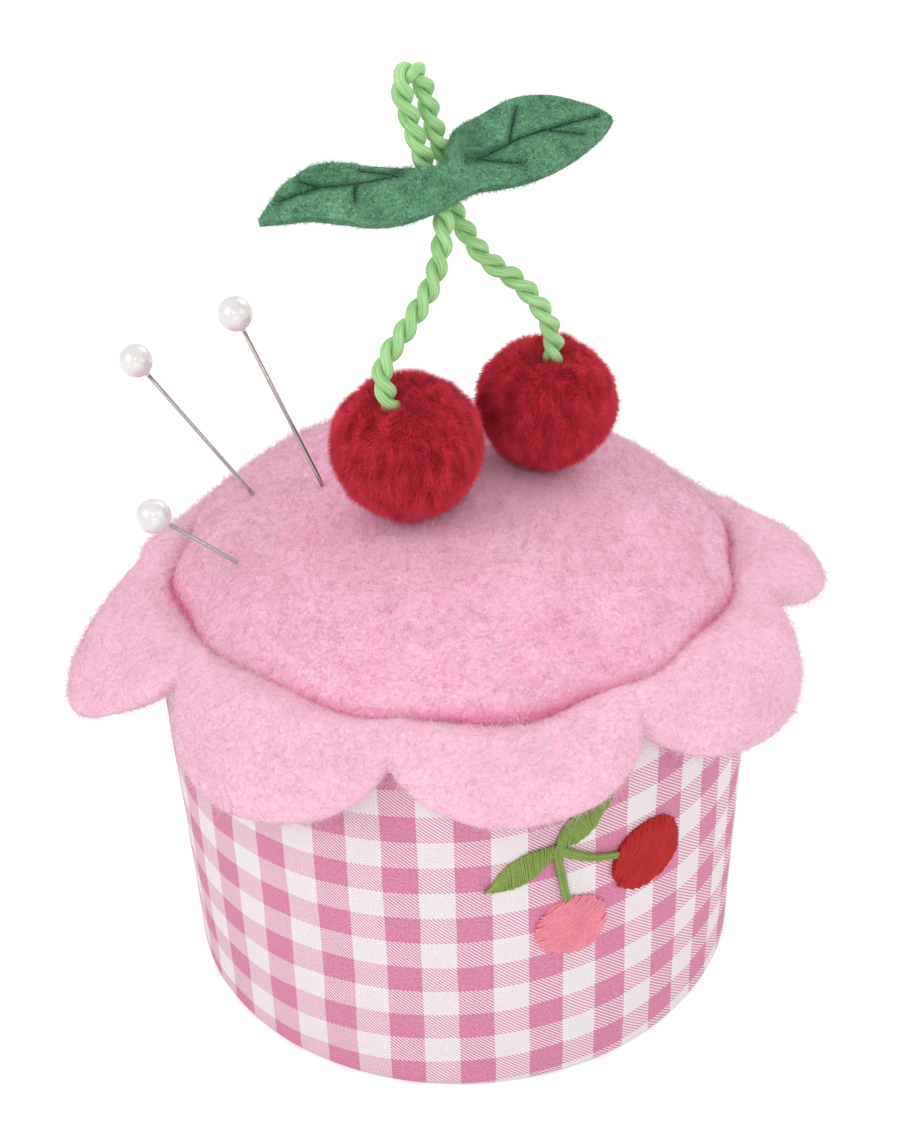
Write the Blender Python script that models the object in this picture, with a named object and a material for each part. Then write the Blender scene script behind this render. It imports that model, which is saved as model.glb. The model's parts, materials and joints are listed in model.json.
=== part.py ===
"""Pin cushion made like a small cherry cake.

A card drum covered in gingham holds packed stuffing under a felt dome with a scalloped felt
skirt. Two plush cherries sit on the dome, joined by a twisted cord that carries a felt leaf,
and three pearl-headed pins push in and pull out, each along its own line.

Metres, +Z up, front towards -Y, origin in the middle of the underside.
Angles round the drum start at the front and grow towards +X."""

import math

import bmesh
import bpy
from mathutils import Matrix, Vector

# Gap kept between neighbours that touch on the real object
CLEARANCE = 0.0003

# Drum: gingham sleeve over a card cup, closed below by a felt disc
BASE_RADIUS = 0.0332
WALL_TAPER = 0.0487
RIM_HEIGHT = 0.0472
SLEEVE_THICKNESS = 0.0006
EDGE_ROUNDING = 0.0005
RIM_HEM_DEPTH = 0.005
BASE_HEM_WIDTH = 0.007
BASE_HEM_THICKNESS = 0.001
BASE_FELT_THICKNESS = 0.001
CARD_WALL_THICKNESS = 0.0015
CARD_BASE_THICKNESS = 0.002

# Felt dome: a flattened cap that rolls under at the seam and is tucked down inside the rim
DOME_OVERHANG = 0.00154
DOME_RISE = 0.0130
DOME_FULLNESS = 0.85
DOME_ROLL = 0.0009
FRONT_LIFT = 0.002
FELT_THICKNESS = 0.0015
TUCK_DEPTH = 0.008

# Scalloped skirt: notch angles in degrees, then for each scallop that follows its reach
# beyond the rim and its drop below the seam
SKIRT_THICKNESS = 0.003
SKIRT_BELOW_SEAM = 0.0026
SKIRT_DROOP = 1.8
NOTCH_REACH = 0.0013
NOTCH_DROP = 0.0021
NOTCH_ANGLES = (-104.6, -56.3, -11.7, 32.4, 80.2, 116.0, 160.0, 206.0)
SCALLOP_REACH = (0.0104, 0.0082, 0.0077, 0.0083, 0.0092, 0.0048, 0.0048, 0.0048)
SCALLOP_DROP = (0.0100, 0.0076, 0.0052, 0.0058, 0.0086, 0.0075, 0.0075, 0.0075)
SCALLOP_ROUNDNESS = 0.78
SKIRT_ROUND_FROM = 0.7
SEAM_THREAD_RADIUS = 0.00025

# Cherries: place on the dome, radius, and the way the dimple faces
CHERRIES = {
    "front": {"place": (-0.00485, -0.0079), "radius": 0.0082, "faces": (-0.25, -0.22, 0.943)},
    "rear": {"place": (0.01106, 0.0026), "radius": 0.0077, "faces": (0.10, -0.20, 0.975)},
}
PLUSH_THICKNESS = 0.0015
DIMPLE_SHARE = 0.15
DIMPLE_SPREAD = 22.0
GATHER_RADIUS = 0.00035
TACK_RADIUS = 0.0004
TACK_IN_CHERRY = 0.003
TACK_IN_STUFFING = 0.006

# Stem cord: points between the two cherries, chosen by hand, with heights above the top of
# the dome: up the left leg, round the hanging loop and down the right leg
CORD_RADIUS = 0.00125
CORD_IN_CHERRY = 0.0045
CORD_STRAIGHT_SHARE = 0.75
CORD_STEP = 0.0017
LEFT_LEG = (
    (-0.0073, -0.0091, 0.0172), (-0.0067, -0.0079, 0.0192), (-0.0040, -0.0061, 0.0226),
    (-0.0014, -0.0042, 0.0264), (-0.0002, -0.0022, 0.0305), (-0.0003, -0.0002, 0.0340),
)
LOOP = (
    (-0.0018, 0.0011, 0.0372), (-0.0031, 0.0012, 0.0413), (-0.0038, 0.0012, 0.0440),
    (-0.0043, 0.0012, 0.0467), (-0.0040, 0.0017, 0.0480), (-0.0031, 0.0023, 0.0485),
    (-0.0020, 0.0029, 0.0477), (-0.0015, 0.0033, 0.0462), (-0.0010, 0.0033, 0.0430),
    (-0.0005, 0.0033, 0.0400), (0.0003, 0.0033, 0.0363),
)
RIGHT_LEG = (
    (0.0019, 0.0029, 0.0317), (0.0034, 0.0024, 0.0275), (0.0047, 0.0022, 0.0251),
    (0.0073, 0.0020, 0.0227), (0.0093, 0.0018, 0.0202), (0.0109, 0.0014, 0.0176),
)

# Felt leaf: a plane through the foot of the cord's loop, tilted to the front, with the lower
# and upper edge at stations from the left tip to the right tip
LEAF_TILT = 30.0
LEAF_THICKNESS = 0.0012
LEAF_ROWS = 4
LEAF_LEFT_TIP = (-0.0191, -0.0070)
LEAF_RIGHT_TIP = (0.0194, 0.0053)
LEAF_STATIONS = (
    ((-0.0166, -0.0070), (-0.0182, -0.0050)), ((-0.0135, -0.0066), (-0.0165, -0.0022)),
    ((-0.0103, -0.0070), (-0.0135, 0.0003)), ((-0.0072, -0.0076), (-0.0102, 0.0009)),
    ((-0.0046, -0.0075), (-0.0072, 0.0006)), ((-0.0020, -0.0068), (-0.0040, 0.0016)),
    ((0.0006, -0.0058), (-0.0016, 0.0034)), ((0.0028, -0.0047), (0.0014, 0.0044)),
    ((0.0050, -0.0036), (0.0046, 0.0064)), ((0.0085, -0.0029), (0.0086, 0.0084)),
    ((0.0122, -0.0015), (0.0124, 0.0085)), ((0.0152, 0.0004), (0.0157, 0.0074)),
    ((0.0178, 0.0028), (0.0181, 0.0065)),
)

# Embroidery on the front of the drum: places are arc length and height from the crossing
EMBROIDERY_ANGLE = 17.0
EMBROIDERY_BELOW_RIM = 0.0102
EMBROIDERY_THICKNESS = 0.0005
RED_PLACE = (0.0120, -0.0058)
RED_RADIUS = 0.0050
PINK_PLACE = (0.0022, -0.0124)
PINK_RADIUS = 0.0043
LEFT_BLADE_TIP = (-0.0075, -0.0048)
RIGHT_BLADE_TIP = (0.0062, 0.0054)
BLADE_HALF_WIDTH = 0.0017
BLADE_START = 0.0004
STALK_RADIUS = 0.00035
STALK_GAP = 0.0005
STALK_START = 0.0011
STALK_SAG = 0.0006

# Pearl-headed pins: where each goes into the felt, as an angle round the dome and a distance
# in from its edge, then lean from upright, bearing of the lean (from -X towards -Y) in
# degrees, and length between the felt and the middle of the head
PIN_LENGTH = 0.038
PIN_RADIUS = 0.0003
PIN_POINT_LENGTH = 0.0025
PIN_HEAD_RADIUS = 0.002
PIN_SOCKET_DEPTH = 0.002
PINS = {
    "pin_1": {"angle": -100.6, "inset": 0.0096, "lean": 33.2, "bearing": 0.0, "shows": 0.0218},
    "pin_2": {"angle": -90.8, "inset": 0.0185, "lean": 20.4, "bearing": 0.0, "shows": 0.0242},
    "pin_3": {"angle": -71.4, "inset": 0.0073, "lean": 46.5, "bearing": 19.7, "shows": 0.0122},
}

# Facets
DRUM_SIDES = 48
SKIRT_SIDES = 112
BALL_SIDES = 24
PIN_SIDES = 10
PAD_SIDES = 20
COVER_ROWS = 9
LINING_ROWS = 7
FILLING_ROWS = 6
HEAD_ROWS = 7
STALK_STEPS = 6
DOME_SHARES = (0, 0.12, 0.25, 0.4, 0.55, 0.7, 0.82, 0.91, 0.97, 1)
SKIRT_SHARES = (0, 0.2, 0.4, 0.6, 0.8, 0.93)
PAD_CROWN_SHARE = 0.75
SHARP_ANGLE = 40.0

# Places that follow from the sizes above
WALL_INSET = SLEEVE_THICKNESS + CLEARANCE
STUFFING_INSET = WALL_INSET + CARD_WALL_THICKNESS + CLEARANCE
RIM_HEM_INSET = STUFFING_INSET + SLEEVE_THICKNESS
RIM_RADIUS = BASE_RADIUS + WALL_TAPER * RIM_HEIGHT
RIM_HEM_FOOT = RIM_HEIGHT - RIM_HEM_DEPTH
NECK_RADIUS = RIM_RADIUS - RIM_HEM_INSET - CLEARANCE
CARD_FOOT = max(BASE_HEM_THICKNESS, BASE_FELT_THICKNESS) + CLEARANCE
TUCK_FOOT = RIM_HEIGHT - TUCK_DEPTH
DOME_RADIUS = NECK_RADIUS + DOME_OVERHANG
SEAM_HEIGHT = RIM_HEIGHT + SKIRT_THICKNESS + SKIRT_BELOW_SEAM
DOME_TOP = SEAM_HEIGHT + DOME_RISE
SKIRT_INNER_RADIUS = NECK_RADIUS + CLEARANCE
SKIRT_TOP = SEAM_HEIGHT - DOME_ROLL - CLEARANCE
EMBROIDERY_HEIGHT = RIM_HEIGHT - EMBROIDERY_BELOW_RIM
LEAF_HOLE_RADIUS = CORD_RADIUS + 2 * CLEARANCE
PIN_REACH = PIN_LENGTH - PIN_HEAD_RADIUS


def clear_scene():
    """Starts from an empty scene."""
    for item in list(bpy.data.objects):
        bpy.data.objects.remove(item, do_unlink=True)


def finish(name, color, roughness, metallic=0.0):
    """A plain material for one kind of surface."""
    material = bpy.data.materials.get(name)
    if material is None:
        material = bpy.data.materials.new(name)
        material.use_nodes = True
        shader = material.node_tree.nodes["Principled BSDF"]
        shader.inputs["Base Color"].default_value = (*color, 1.0)
        shader.inputs["Roughness"].default_value = roughness
        shader.inputs["Metallic"].default_value = metallic
    return material


def pink_felt():
    return finish("pink_felt", (0.88, 0.42, 0.62), 0.95)


def gingham():
    return finish("gingham", (0.86, 0.55, 0.72), 0.85)


def card():
    return finish("card", (0.62, 0.52, 0.40), 0.9)


def fibre():
    return finish("fibre", (0.90, 0.89, 0.86), 1.0)


def red_plush():
    return finish("red_plush", (0.42, 0.02, 0.04), 0.9)


def green_cord():
    return finish("green_cord", (0.33, 0.66, 0.22), 0.5)


def green_felt():
    return finish("green_felt", (0.04, 0.22, 0.11), 0.95)


def green_floss():
    return finish("green_floss", (0.16, 0.29, 0.05), 0.6)


def red_floss():
    return finish("red_floss", (0.50, 0.02, 0.04), 0.6)


def pink_floss():
    return finish("pink_floss", (0.85, 0.22, 0.28), 0.6)


def pink_thread():
    return finish("pink_thread", (0.80, 0.28, 0.52), 0.7)


def steel():
    return finish("steel", (0.62, 0.60, 0.58), 0.3, 1.0)


def pearl():
    return finish("pearl", (0.90, 0.84, 0.83), 0.2)


def add_object(name, data, material):
    """Links a mesh or a curve as a named object with its material."""
    item = bpy.data.objects.new(name, data)
    bpy.context.scene.collection.objects.link(item)
    item.data.materials.append(material)
    return item


def add_mesh(name, vertices, faces, material):
    """A closed mesh with its faces turned outwards."""
    data = bpy.data.meshes.new(name)
    shape = bmesh.new()
    corners = [shape.verts.new(v) for v in vertices]
    for face in faces:
        shape.faces.new([corners[i] for i in face])
    bmesh.ops.recalc_face_normals(shape, faces=shape.faces)
    shape.to_mesh(data)
    shape.free()
    data.shade_smooth()
    data.set_sharp_from_angle(angle=math.radians(SHARP_ANGLE))
    return add_object(name, data, material)


def round_point(angle, radius, height):
    """A point at an angle round the drum."""
    return Vector((radius * math.sin(angle), -radius * math.cos(angle), height))


def turned(name, section_at, sides, material, capped, placing=None):
    """A solid swept round Z. section_at(angle) lists (radius, height): a closed loop or,
    where capped, a line whose two ends lie on the axis."""
    placing = placing or Matrix.Identity(4)
    angles = [2 * math.pi * k / sides for k in range(sides)]
    sections = [section_at(angle) for angle in angles]
    count = len(sections[0])
    rows = range(1, count - 1) if capped else range(count)
    vertices = [
        placing @ round_point(angle, *section[i])
        for angle, section in zip(angles, sections)
        for i in rows
    ]
    per_side = len(rows)
    faces = []
    for k in range(sides):
        here = k * per_side
        there = (k + 1) % sides * per_side
        for i in range(per_side - 1 if capped else per_side):
            j = (i + 1) % per_side
            faces.append((here + i, here + j, there + j, there + i))
    if capped:
        first = len(vertices)
        vertices.append(placing @ round_point(0, *sections[0][0]))
        vertices.append(placing @ round_point(0, *sections[0][-1]))
        for k in range(sides):
            here = k * per_side
            there = (k + 1) % sides * per_side
            faces.append((first, here, there))
            faces.append((first + 1, there + per_side - 1, here + per_side - 1))
    return add_mesh(name, vertices, faces, material)


def smooth_route(points, step):
    """Points about a step apart on a smooth curve through the given ones."""
    ends = [2 * points[0] - points[1], *points, 2 * points[-1] - points[-2]]
    route = []
    for a, b, c, d in zip(ends, ends[1:], ends[2:], ends[3:]):
        pieces = max(1, round((c - b).length / step))
        for k in range(pieces):
            t = k / pieces
            route.append(0.5 * (
                2 * b + (c - a) * t + (2 * a - 5 * b + 4 * c - d) * t ** 2
                + (3 * b - a - 3 * c + d) * t ** 3
            ))
    return route + [points[-1]]


def tube_curve(name, route, radius, closed=False):
    """Curve data for a round tube along a route."""
    data = bpy.data.curves.new(name, "CURVE")
    data.dimensions = "3D"
    data.bevel_depth = radius
    data.bevel_resolution = 2
    data.use_fill_caps = True
    line = data.splines.new("POLY")
    line.points.add(len(route) - 1)
    for point, place in zip(line.points, route):
        point.co = (*place, 1.0)
    line.use_cyclic_u = closed
    return data


def hide_cutter(item):
    """Marks an object as a tool that only cuts others."""
    item.hide_render = True
    item.display_type = "WIRE"
    return item


def rods(name, lines, radius):
    """Cutter made of round rods, one for each pair of ends."""
    shape = bmesh.new()
    for start, end in lines:
        axis = end - start
        placing = Matrix.Translation((start + end) / 2)
        placing @= axis.to_track_quat("Z", "Y").to_matrix().to_4x4()
        bmesh.ops.create_cone(
            shape, cap_ends=True, segments=PIN_SIDES, radius1=radius, radius2=radius,
            depth=axis.length, matrix=placing,
        )
    data = bpy.data.meshes.new(name)
    shape.to_mesh(data)
    shape.free()
    return hide_cutter(add_object(name, data, fibre()))


def cut(item, cutter):
    """Takes the cutter's shape out of an object."""
    step = item.modifiers.new(cutter.name, "BOOLEAN")
    step.operation = "DIFFERENCE"
    step.solver = "EXACT"
    step.object = cutter


def wall_radius(height):
    """Outside radius of the sleeve at a height."""
    return BASE_RADIUS + WALL_TAPER * height


def wall_point(inset, height):
    """A point inside the sleeve's outer face, as (radius, height)."""
    return wall_radius(height) - inset, height


def front_lift(angle):
    """How far the rim and the soft top rise, most at the front and not at all behind."""
    return FRONT_LIFT * ((1 + math.cos(angle)) / 2) ** 2


def dome_curve(share, rise):
    """Height of the dome's curve above its seam, at a share of its radius."""
    return rise * (1 - share ** 2) ** DOME_FULLNESS


def dome_height(x, y):
    """Height of the felt at a place on the dome."""
    share = math.hypot(x, y) / DOME_RADIUS
    lift = front_lift(math.atan2(x, -y)) * share
    return SEAM_HEIGHT + lift + dome_curve(share, DOME_RISE)


def dome_normal(x, y):
    """Outward direction of the felt at a place on the dome."""
    step = DOME_RADIUS / 100
    slope_x = (dome_height(x + step, y) - dome_height(x - step, y)) / (2 * step)
    slope_y = (dome_height(x, y + step) - dome_height(x, y - step)) / (2 * step)
    return Vector((-slope_x, -slope_y, 1)).normalized()


def make_drum():
    """Felt disc, card disc, card wall and the gingham sleeve turned over both ends."""
    disc_radius = BASE_RADIUS - BASE_HEM_WIDTH - CLEARANCE
    disc = [(0, BASE_FELT_THICKNESS), (disc_radius, BASE_FELT_THICKNESS), (disc_radius, 0), (0, 0)]
    turned("base_felt_disc", lambda angle: disc, DRUM_SIDES, pink_felt(), True)

    top = CARD_FOOT + CARD_BASE_THICKNESS
    plate = [
        (0, top), wall_point(STUFFING_INSET, top), wall_point(STUFFING_INSET, CARD_FOOT),
        (0, CARD_FOOT),
    ]
    turned("card_base_disc", lambda angle: plate, DRUM_SIDES, card(), True)

    inner = WALL_INSET + CARD_WALL_THICKNESS
    soft = EDGE_ROUNDING * (1 - math.cos(math.radians(45)))
    hem_outer = RIM_HEM_INSET - SLEEVE_THICKNESS

    def wall_section(angle):
        wall_top = RIM_HEIGHT + front_lift(angle) - SLEEVE_THICKNESS - CLEARANCE
        return [
            wall_point(WALL_INSET, wall_top), wall_point(WALL_INSET, CARD_FOOT),
            wall_point(inner, CARD_FOOT), wall_point(inner, wall_top),
        ]

    def sleeve_section(angle):
        rim = RIM_HEIGHT + front_lift(angle)
        under_rim = rim - SLEEVE_THICKNESS
        return [
            wall_point(EDGE_ROUNDING, rim), wall_point(soft, rim - soft),
            wall_point(0, rim - EDGE_ROUNDING), wall_point(0, EDGE_ROUNDING),
            wall_point(soft, soft), wall_point(EDGE_ROUNDING, 0), wall_point(BASE_HEM_WIDTH, 0),
            wall_point(BASE_HEM_WIDTH, BASE_HEM_THICKNESS),
            wall_point(SLEEVE_THICKNESS, BASE_HEM_THICKNESS),
            wall_point(SLEEVE_THICKNESS, under_rim), wall_point(hem_outer, under_rim),
            wall_point(hem_outer, RIM_HEM_FOOT), wall_point(RIM_HEM_INSET, RIM_HEM_FOOT),
            wall_point(RIM_HEM_INSET, rim),
        ]

    turned("card_cup_wall", wall_section, DRUM_SIDES, card(), False)
    turned("gingham_sleeve", sleeve_section, DRUM_SIDES, gingham(), False)


def dome_line(angle, inset):
    """The dome's curve at an inset from its outer face, from the axis to the seam's fold."""
    radius = DOME_RADIUS - inset
    lift = front_lift(angle)
    return [
        (share * radius, SEAM_HEIGHT + lift * share + dome_curve(share, DOME_RISE - inset))
        for share in DOME_SHARES
    ]


def make_soft_top(channels):
    """Stuffing and the felt drawn over it, both with paths for the pins and the tacks."""
    fold = SEAM_HEIGHT - DOME_ROLL
    inner_neck = NECK_RADIUS - FELT_THICKNESS
    packed = inner_neck - CLEARANCE

    def felt_section(angle):
        lift = front_lift(angle)
        outside = dome_line(angle, 0) + [(NECK_RADIUS, fold + lift), (NECK_RADIUS, TUCK_FOOT)]
        inside = dome_line(angle, FELT_THICKNESS) + [(inner_neck, fold + lift), (inner_neck, TUCK_FOOT)]
        return outside + inside[::-1]

    def stuffing_section(angle):
        foot = CARD_FOOT + CARD_BASE_THICKNESS + CLEARANCE
        shoulder = min(TUCK_FOOT, RIM_HEM_FOOT) - CLEARANCE
        return dome_line(angle, FELT_THICKNESS + CLEARANCE) + [
            (packed, fold + front_lift(angle)), (packed, shoulder),
            wall_point(STUFFING_INSET, shoulder), wall_point(STUFFING_INSET, foot), (0, foot),
        ]

    felt = turned("felt_dome", felt_section, DRUM_SIDES, pink_felt(), True)
    stuffing = turned("fibre_stuffing", stuffing_section, DRUM_SIDES, fibre(), True)
    for cutter in channels:
        cut(felt, cutter)
        cut(stuffing, cutter)


def skirt_edge(angle):
    """Reach and height of the skirt's edge at an angle."""
    turn = math.degrees(angle)
    starts = list(zip(NOTCH_ANGLES, SCALLOP_REACH, SCALLOP_DROP))
    turn = (turn - starts[0][0]) % 360 + starts[0][0]
    ends = [start[0] for start in starts[1:]] + [starts[0][0] + 360]
    for (start, reach, drop), end in zip(starts, ends):
        if start <= turn <= end:
            share = (turn - start) / (end - start)
            out = (1 - (2 * share - 1) ** 2) ** SCALLOP_ROUNDNESS
            beyond = NOTCH_REACH + (reach - NOTCH_REACH) * out
            below = NOTCH_DROP + (drop - NOTCH_DROP) * out
            return RIM_RADIUS + beyond, SEAM_HEIGHT - below


def skirt_middle(angle, share):
    """Middle of the skirt's felt, from its inner edge (share 0) to its scalloped edge (share 1)."""
    reach, height = skirt_edge(angle)
    start = SKIRT_TOP - SKIRT_THICKNESS / 2 + front_lift(angle)
    radius = SKIRT_INNER_RADIUS + (reach - SKIRT_INNER_RADIUS) * share
    return Vector((radius, start + (height - start) * share ** SKIRT_DROOP))


def skirt_section(angle):
    """Loop round the skirt's felt, square at the seam and round at the scalloped edge."""
    look_ahead = 0.02
    above, below = [], []
    for share in SKIRT_SHARES:
        middle = skirt_middle(angle, share)
        ahead = skirt_middle(angle, share + look_ahead) - middle
        normal = Vector((-ahead.y, ahead.x)).normalized() if share else Vector((0, 1))
        past = max(0, share - SKIRT_ROUND_FROM) / (1 - SKIRT_ROUND_FROM)
        half = SKIRT_THICKNESS / 2 * math.sqrt(1 - past ** 2)
        above.append(middle + normal * half)
        below.append(middle - normal * half)
    return [tuple(p) for p in above + [skirt_middle(angle, 1)] + below[::-1]]


def make_skirt():
    """Scalloped skirt and the thread in the crease above it."""
    turned("scalloped_skirt", skirt_section, SKIRT_SIDES, pink_felt(), False)
    ring = DOME_RADIUS + SEAM_THREAD_RADIUS
    route = []
    for k in range(DRUM_SIDES):
        angle = 2 * math.pi * k / DRUM_SIDES
        height = SKIRT_TOP + front_lift(angle) + CLEARANCE + SEAM_THREAD_RADIUS
        route.append(round_point(angle, ring, height))
    data = tube_curve("seam_thread", route, SEAM_THREAD_RADIUS, closed=True)
    add_object("seam_thread", data, pink_thread())


def cherry_placing(cherry):
    """Where a cherry sits on the felt, with +Z towards its dimple."""
    x, y = cherry["place"]
    rest = (cherry["radius"] + CLEARANCE) / dome_normal(x, y).z
    middle = Vector((x, y, dome_height(x, y) + rest))
    turn = Vector(cherry["faces"]).to_track_quat("Z", "Y").to_matrix().to_4x4()
    return Matrix.Translation(middle) @ turn


def tack_line(cherry):
    """Ends of the thread that holds a cherry down, in the cherry and in the stuffing."""
    x, y = cherry["place"]
    foot = cherry_placing(cherry).translation.z - cherry["radius"]
    top = Vector((x, y, foot + TACK_IN_CHERRY))
    end = Vector((x, y, dome_height(x, y) - TACK_IN_STUFFING))
    return end, top


def ball_line(radius, hole, rows):
    """Outline of a dimpled ball from its foot up to a hole in the dimple."""
    def dimpled(turn):
        reach = radius * (1 - DIMPLE_SHARE * math.exp(-(math.degrees(turn) / DIMPLE_SPREAD) ** 2))
        return reach * math.sin(turn), reach * math.cos(turn)

    rim = math.asin(hole / (radius * (1 - DIMPLE_SHARE)))
    turns = [math.pi + (rim - math.pi) * k / rows for k in range(1, rows + 1)]
    return [(0, -radius)] + [dimpled(turn) for turn in turns]


def filling_line(cherry):
    """Outline of a cherry's stuffing, up to the hole for the cord."""
    radius = cherry["radius"] - PLUSH_THICKNESS - CLEARANCE
    return ball_line(radius, CORD_RADIUS + CLEARANCE, FILLING_ROWS)


def make_cherry(name, cherry, tack_cutter):
    """Plush cover, its stuffing, the gathering thread and the tack of one cherry."""
    placing = cherry_placing(cherry)
    radius = cherry["radius"]
    hole = CORD_RADIUS + CLEARANCE
    outside = ball_line(radius, hole, COVER_ROWS)
    inside = ball_line(radius - PLUSH_THICKNESS, hole, LINING_ROWS)
    cover_line = outside + inside[::-1]
    cover = turned(
        f"cherry_{name}_cover", lambda angle: cover_line, BALL_SIDES, red_plush(), True, placing
    )
    cut(cover, tack_cutter)

    fill_line = filling_line(cherry)
    bore_end = fill_line[-1][1] - CORD_IN_CHERRY
    fill_line = fill_line + [(hole, bore_end), (0, bore_end)]
    filling = turned(
        f"cherry_{name}_stuffing", lambda angle: fill_line, BALL_SIDES // 2, fibre(), True, placing
    )
    cut(filling, tack_cutter)

    ring = hole + GATHER_RADIUS
    height = outside[-1][1] + 2 * (CLEARANCE + GATHER_RADIUS) - GATHER_RADIUS
    route = [
        placing @ round_point(2 * math.pi * k / BALL_SIDES, ring, height) for k in range(BALL_SIDES)
    ]
    data = tube_curve(f"cherry_{name}_gather", route, GATHER_RADIUS, closed=True)
    add_object(f"cherry_{name}_gather", data, red_floss())

    end, top = tack_line(cherry)
    data = tube_curve(f"cherry_{name}_tack", [end, top], TACK_RADIUS)
    add_object(f"cherry_{name}_tack", data, red_floss())


def stem_point(place):
    """A point of the stem, whose height is given above the top of the dome."""
    return Vector(place) + Vector((0, 0, DOME_TOP))


def cord_route():
    """The stem cord's centre line from inside the front cherry to inside the rear one."""
    ends = []
    for cherry in CHERRIES.values():
        placing = cherry_placing(cherry)
        tip = filling_line(cherry)[-1][1] - CORD_IN_CHERRY + CLEARANCE
        mouth = cherry["radius"]
        reaches = (tip, CORD_STRAIGHT_SHARE * mouth, mouth)
        ends.append([placing @ Vector((0, 0, reach)) for reach in reaches])
    front, rear = ends
    between = [stem_point(p) for p in LEFT_LEG + LOOP + RIGHT_LEG]
    return smooth_route(front + between + rear[::-1], CORD_STEP)


def make_stem():
    """Twisted cord in one length, and the felt leaf that it passes through."""
    route = cord_route()
    add_object("stem_cord", tube_curve("stem_cord", route, CORD_RADIUS), green_cord())
    tilt = math.radians(LEAF_TILT)
    across = Vector((0, math.cos(tilt), math.sin(tilt)))
    middle = (stem_point(LOOP[0]) + stem_point(LOOP[-1])) / 2

    def leaf_point(place):
        return middle + Vector((place[0], 0, 0)) + across * place[1]

    points = [leaf_point(LEAF_LEFT_TIP)]
    for lower, upper in LEAF_STATIONS:
        low, high = Vector(lower), Vector(upper)
        points += [leaf_point(low + (high - low) * k / LEAF_ROWS) for k in range(LEAF_ROWS + 1)]
    points.append(leaf_point(LEAF_RIGHT_TIP))
    per_row = LEAF_ROWS + 1
    last = len(points) - 1
    faces = []
    for k in range(LEAF_ROWS):
        faces.append((0, 1 + k, 2 + k))
        faces.append((last, last - 1 - k, last - 2 - k))
        for station in range(len(LEAF_STATIONS) - 1):
            corner = 1 + station * per_row + k
            faces.append((corner, corner + per_row, corner + per_row + 1, corner + 1))
    leaf = add_mesh("leaf_pair", points, faces, green_felt())
    thicken = leaf.modifiers.new("felt", "SOLIDIFY")
    thicken.thickness = LEAF_THICKNESS
    thicken.offset = 0
    facing = Vector((1, 0, 0)).cross(across)
    for start, end in zip(route, route[1:]):
        if (start - middle).dot(facing) * (end - middle).dot(facing) < 0:
            past = (end - start).normalized() * 2 * LEAF_THICKNESS
            hole = rods("leaf_hole", [(start - past, end + past)], LEAF_HOLE_RADIUS)
            cut(leaf, hole)


def on_wall(place, proud):
    """A point of the embroidery, standing proud of the sleeve."""
    height = EMBROIDERY_HEIGHT + place[1]
    angle = math.radians(EMBROIDERY_ANGLE) + place[0] / wall_radius(EMBROIDERY_HEIGHT)
    return round_point(angle, wall_radius(height) + proud, height)


def wall_pad(name, outline, material):
    """A low stitched pad on the drum with the given outline."""
    middle = sum((Vector(p) for p in outline), Vector((0, 0))) / len(outline)
    count = len(outline)
    low, high = CLEARANCE, CLEARANCE + EMBROIDERY_THICKNESS
    rings = ((low, 1), ((low + high) / 2, 1), (high, PAD_CROWN_SHARE))
    vertices = [
        on_wall(middle + (Vector(p) - middle) * share, proud) for proud, share in rings for p in outline
    ]
    vertices += [on_wall(middle, low), on_wall(middle, high)]
    faces = []
    for k in range(count):
        n = (k + 1) % count
        faces.append((3 * count, n, k))
        faces.append((3 * count + 1, 2 * count + k, 2 * count + n))
        for ring in (0, count):
            faces.append((ring + k, ring + n, ring + count + n, ring + count + k))
    add_mesh(name, vertices, faces, material)


def disc_outline(middle, radius):
    turns = [2 * math.pi * k / PAD_SIDES for k in range(PAD_SIDES)]
    return [(middle[0] + radius * math.cos(t), middle[1] + radius * math.sin(t)) for t in turns]


def blade_outline(tip):
    """Pointed leaf from the crossing to a tip, widest in the middle."""
    along = Vector(tip)
    side = Vector((-along.y, along.x)).normalized()
    start = along.normalized() * BLADE_START
    half = PAD_SIDES // 2
    upper = [(k / half, BLADE_HALF_WIDTH * math.sin(math.pi * k / half)) for k in range(half)]
    edge = upper + [(1 - share, -width) for share, width in upper]
    return [start + (along - start) * share + side * width for share, width in edge]


def stalk_route(start, end):
    """Slightly hanging stalk between two places on the drum."""
    low, high = Vector(start), Vector(end)
    side = Vector((low.y - high.y, high.x - low.x)).normalized()
    proud = CLEARANCE + STALK_RADIUS
    route = []
    for k in range(STALK_STEPS + 1):
        share = k / STALK_STEPS
        place = low + (high - low) * share - side * STALK_SAG * math.sin(math.pi * share)
        route.append(on_wall(place, proud))
    return route


def make_embroidery():
    """Two cherries, their stalks and a pair of leaves in raised stitches."""
    wall_pad("embroidered_cherry_red", disc_outline(RED_PLACE, RED_RADIUS), red_floss())
    wall_pad("embroidered_cherry_pink", disc_outline(PINK_PLACE, PINK_RADIUS), pink_floss())
    wall_pad("embroidered_leaf_left", blade_outline(LEFT_BLADE_TIP), green_floss())
    wall_pad("embroidered_leaf_right", blade_outline(RIGHT_BLADE_TIP), green_floss())
    ends = {"red": (RED_PLACE, RED_RADIUS), "pink": (PINK_PLACE, PINK_RADIUS)}
    for name, (middle, radius) in ends.items():
        towards = Vector(middle).normalized()
        reach = Vector(middle).length - radius - STALK_RADIUS - STALK_GAP
        route = stalk_route(towards * STALK_START, towards * reach)
        data = tube_curve(f"embroidered_stalk_{name}", route, STALK_RADIUS)
        add_object(f"embroidered_stalk_{name}", data, green_floss())


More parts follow.
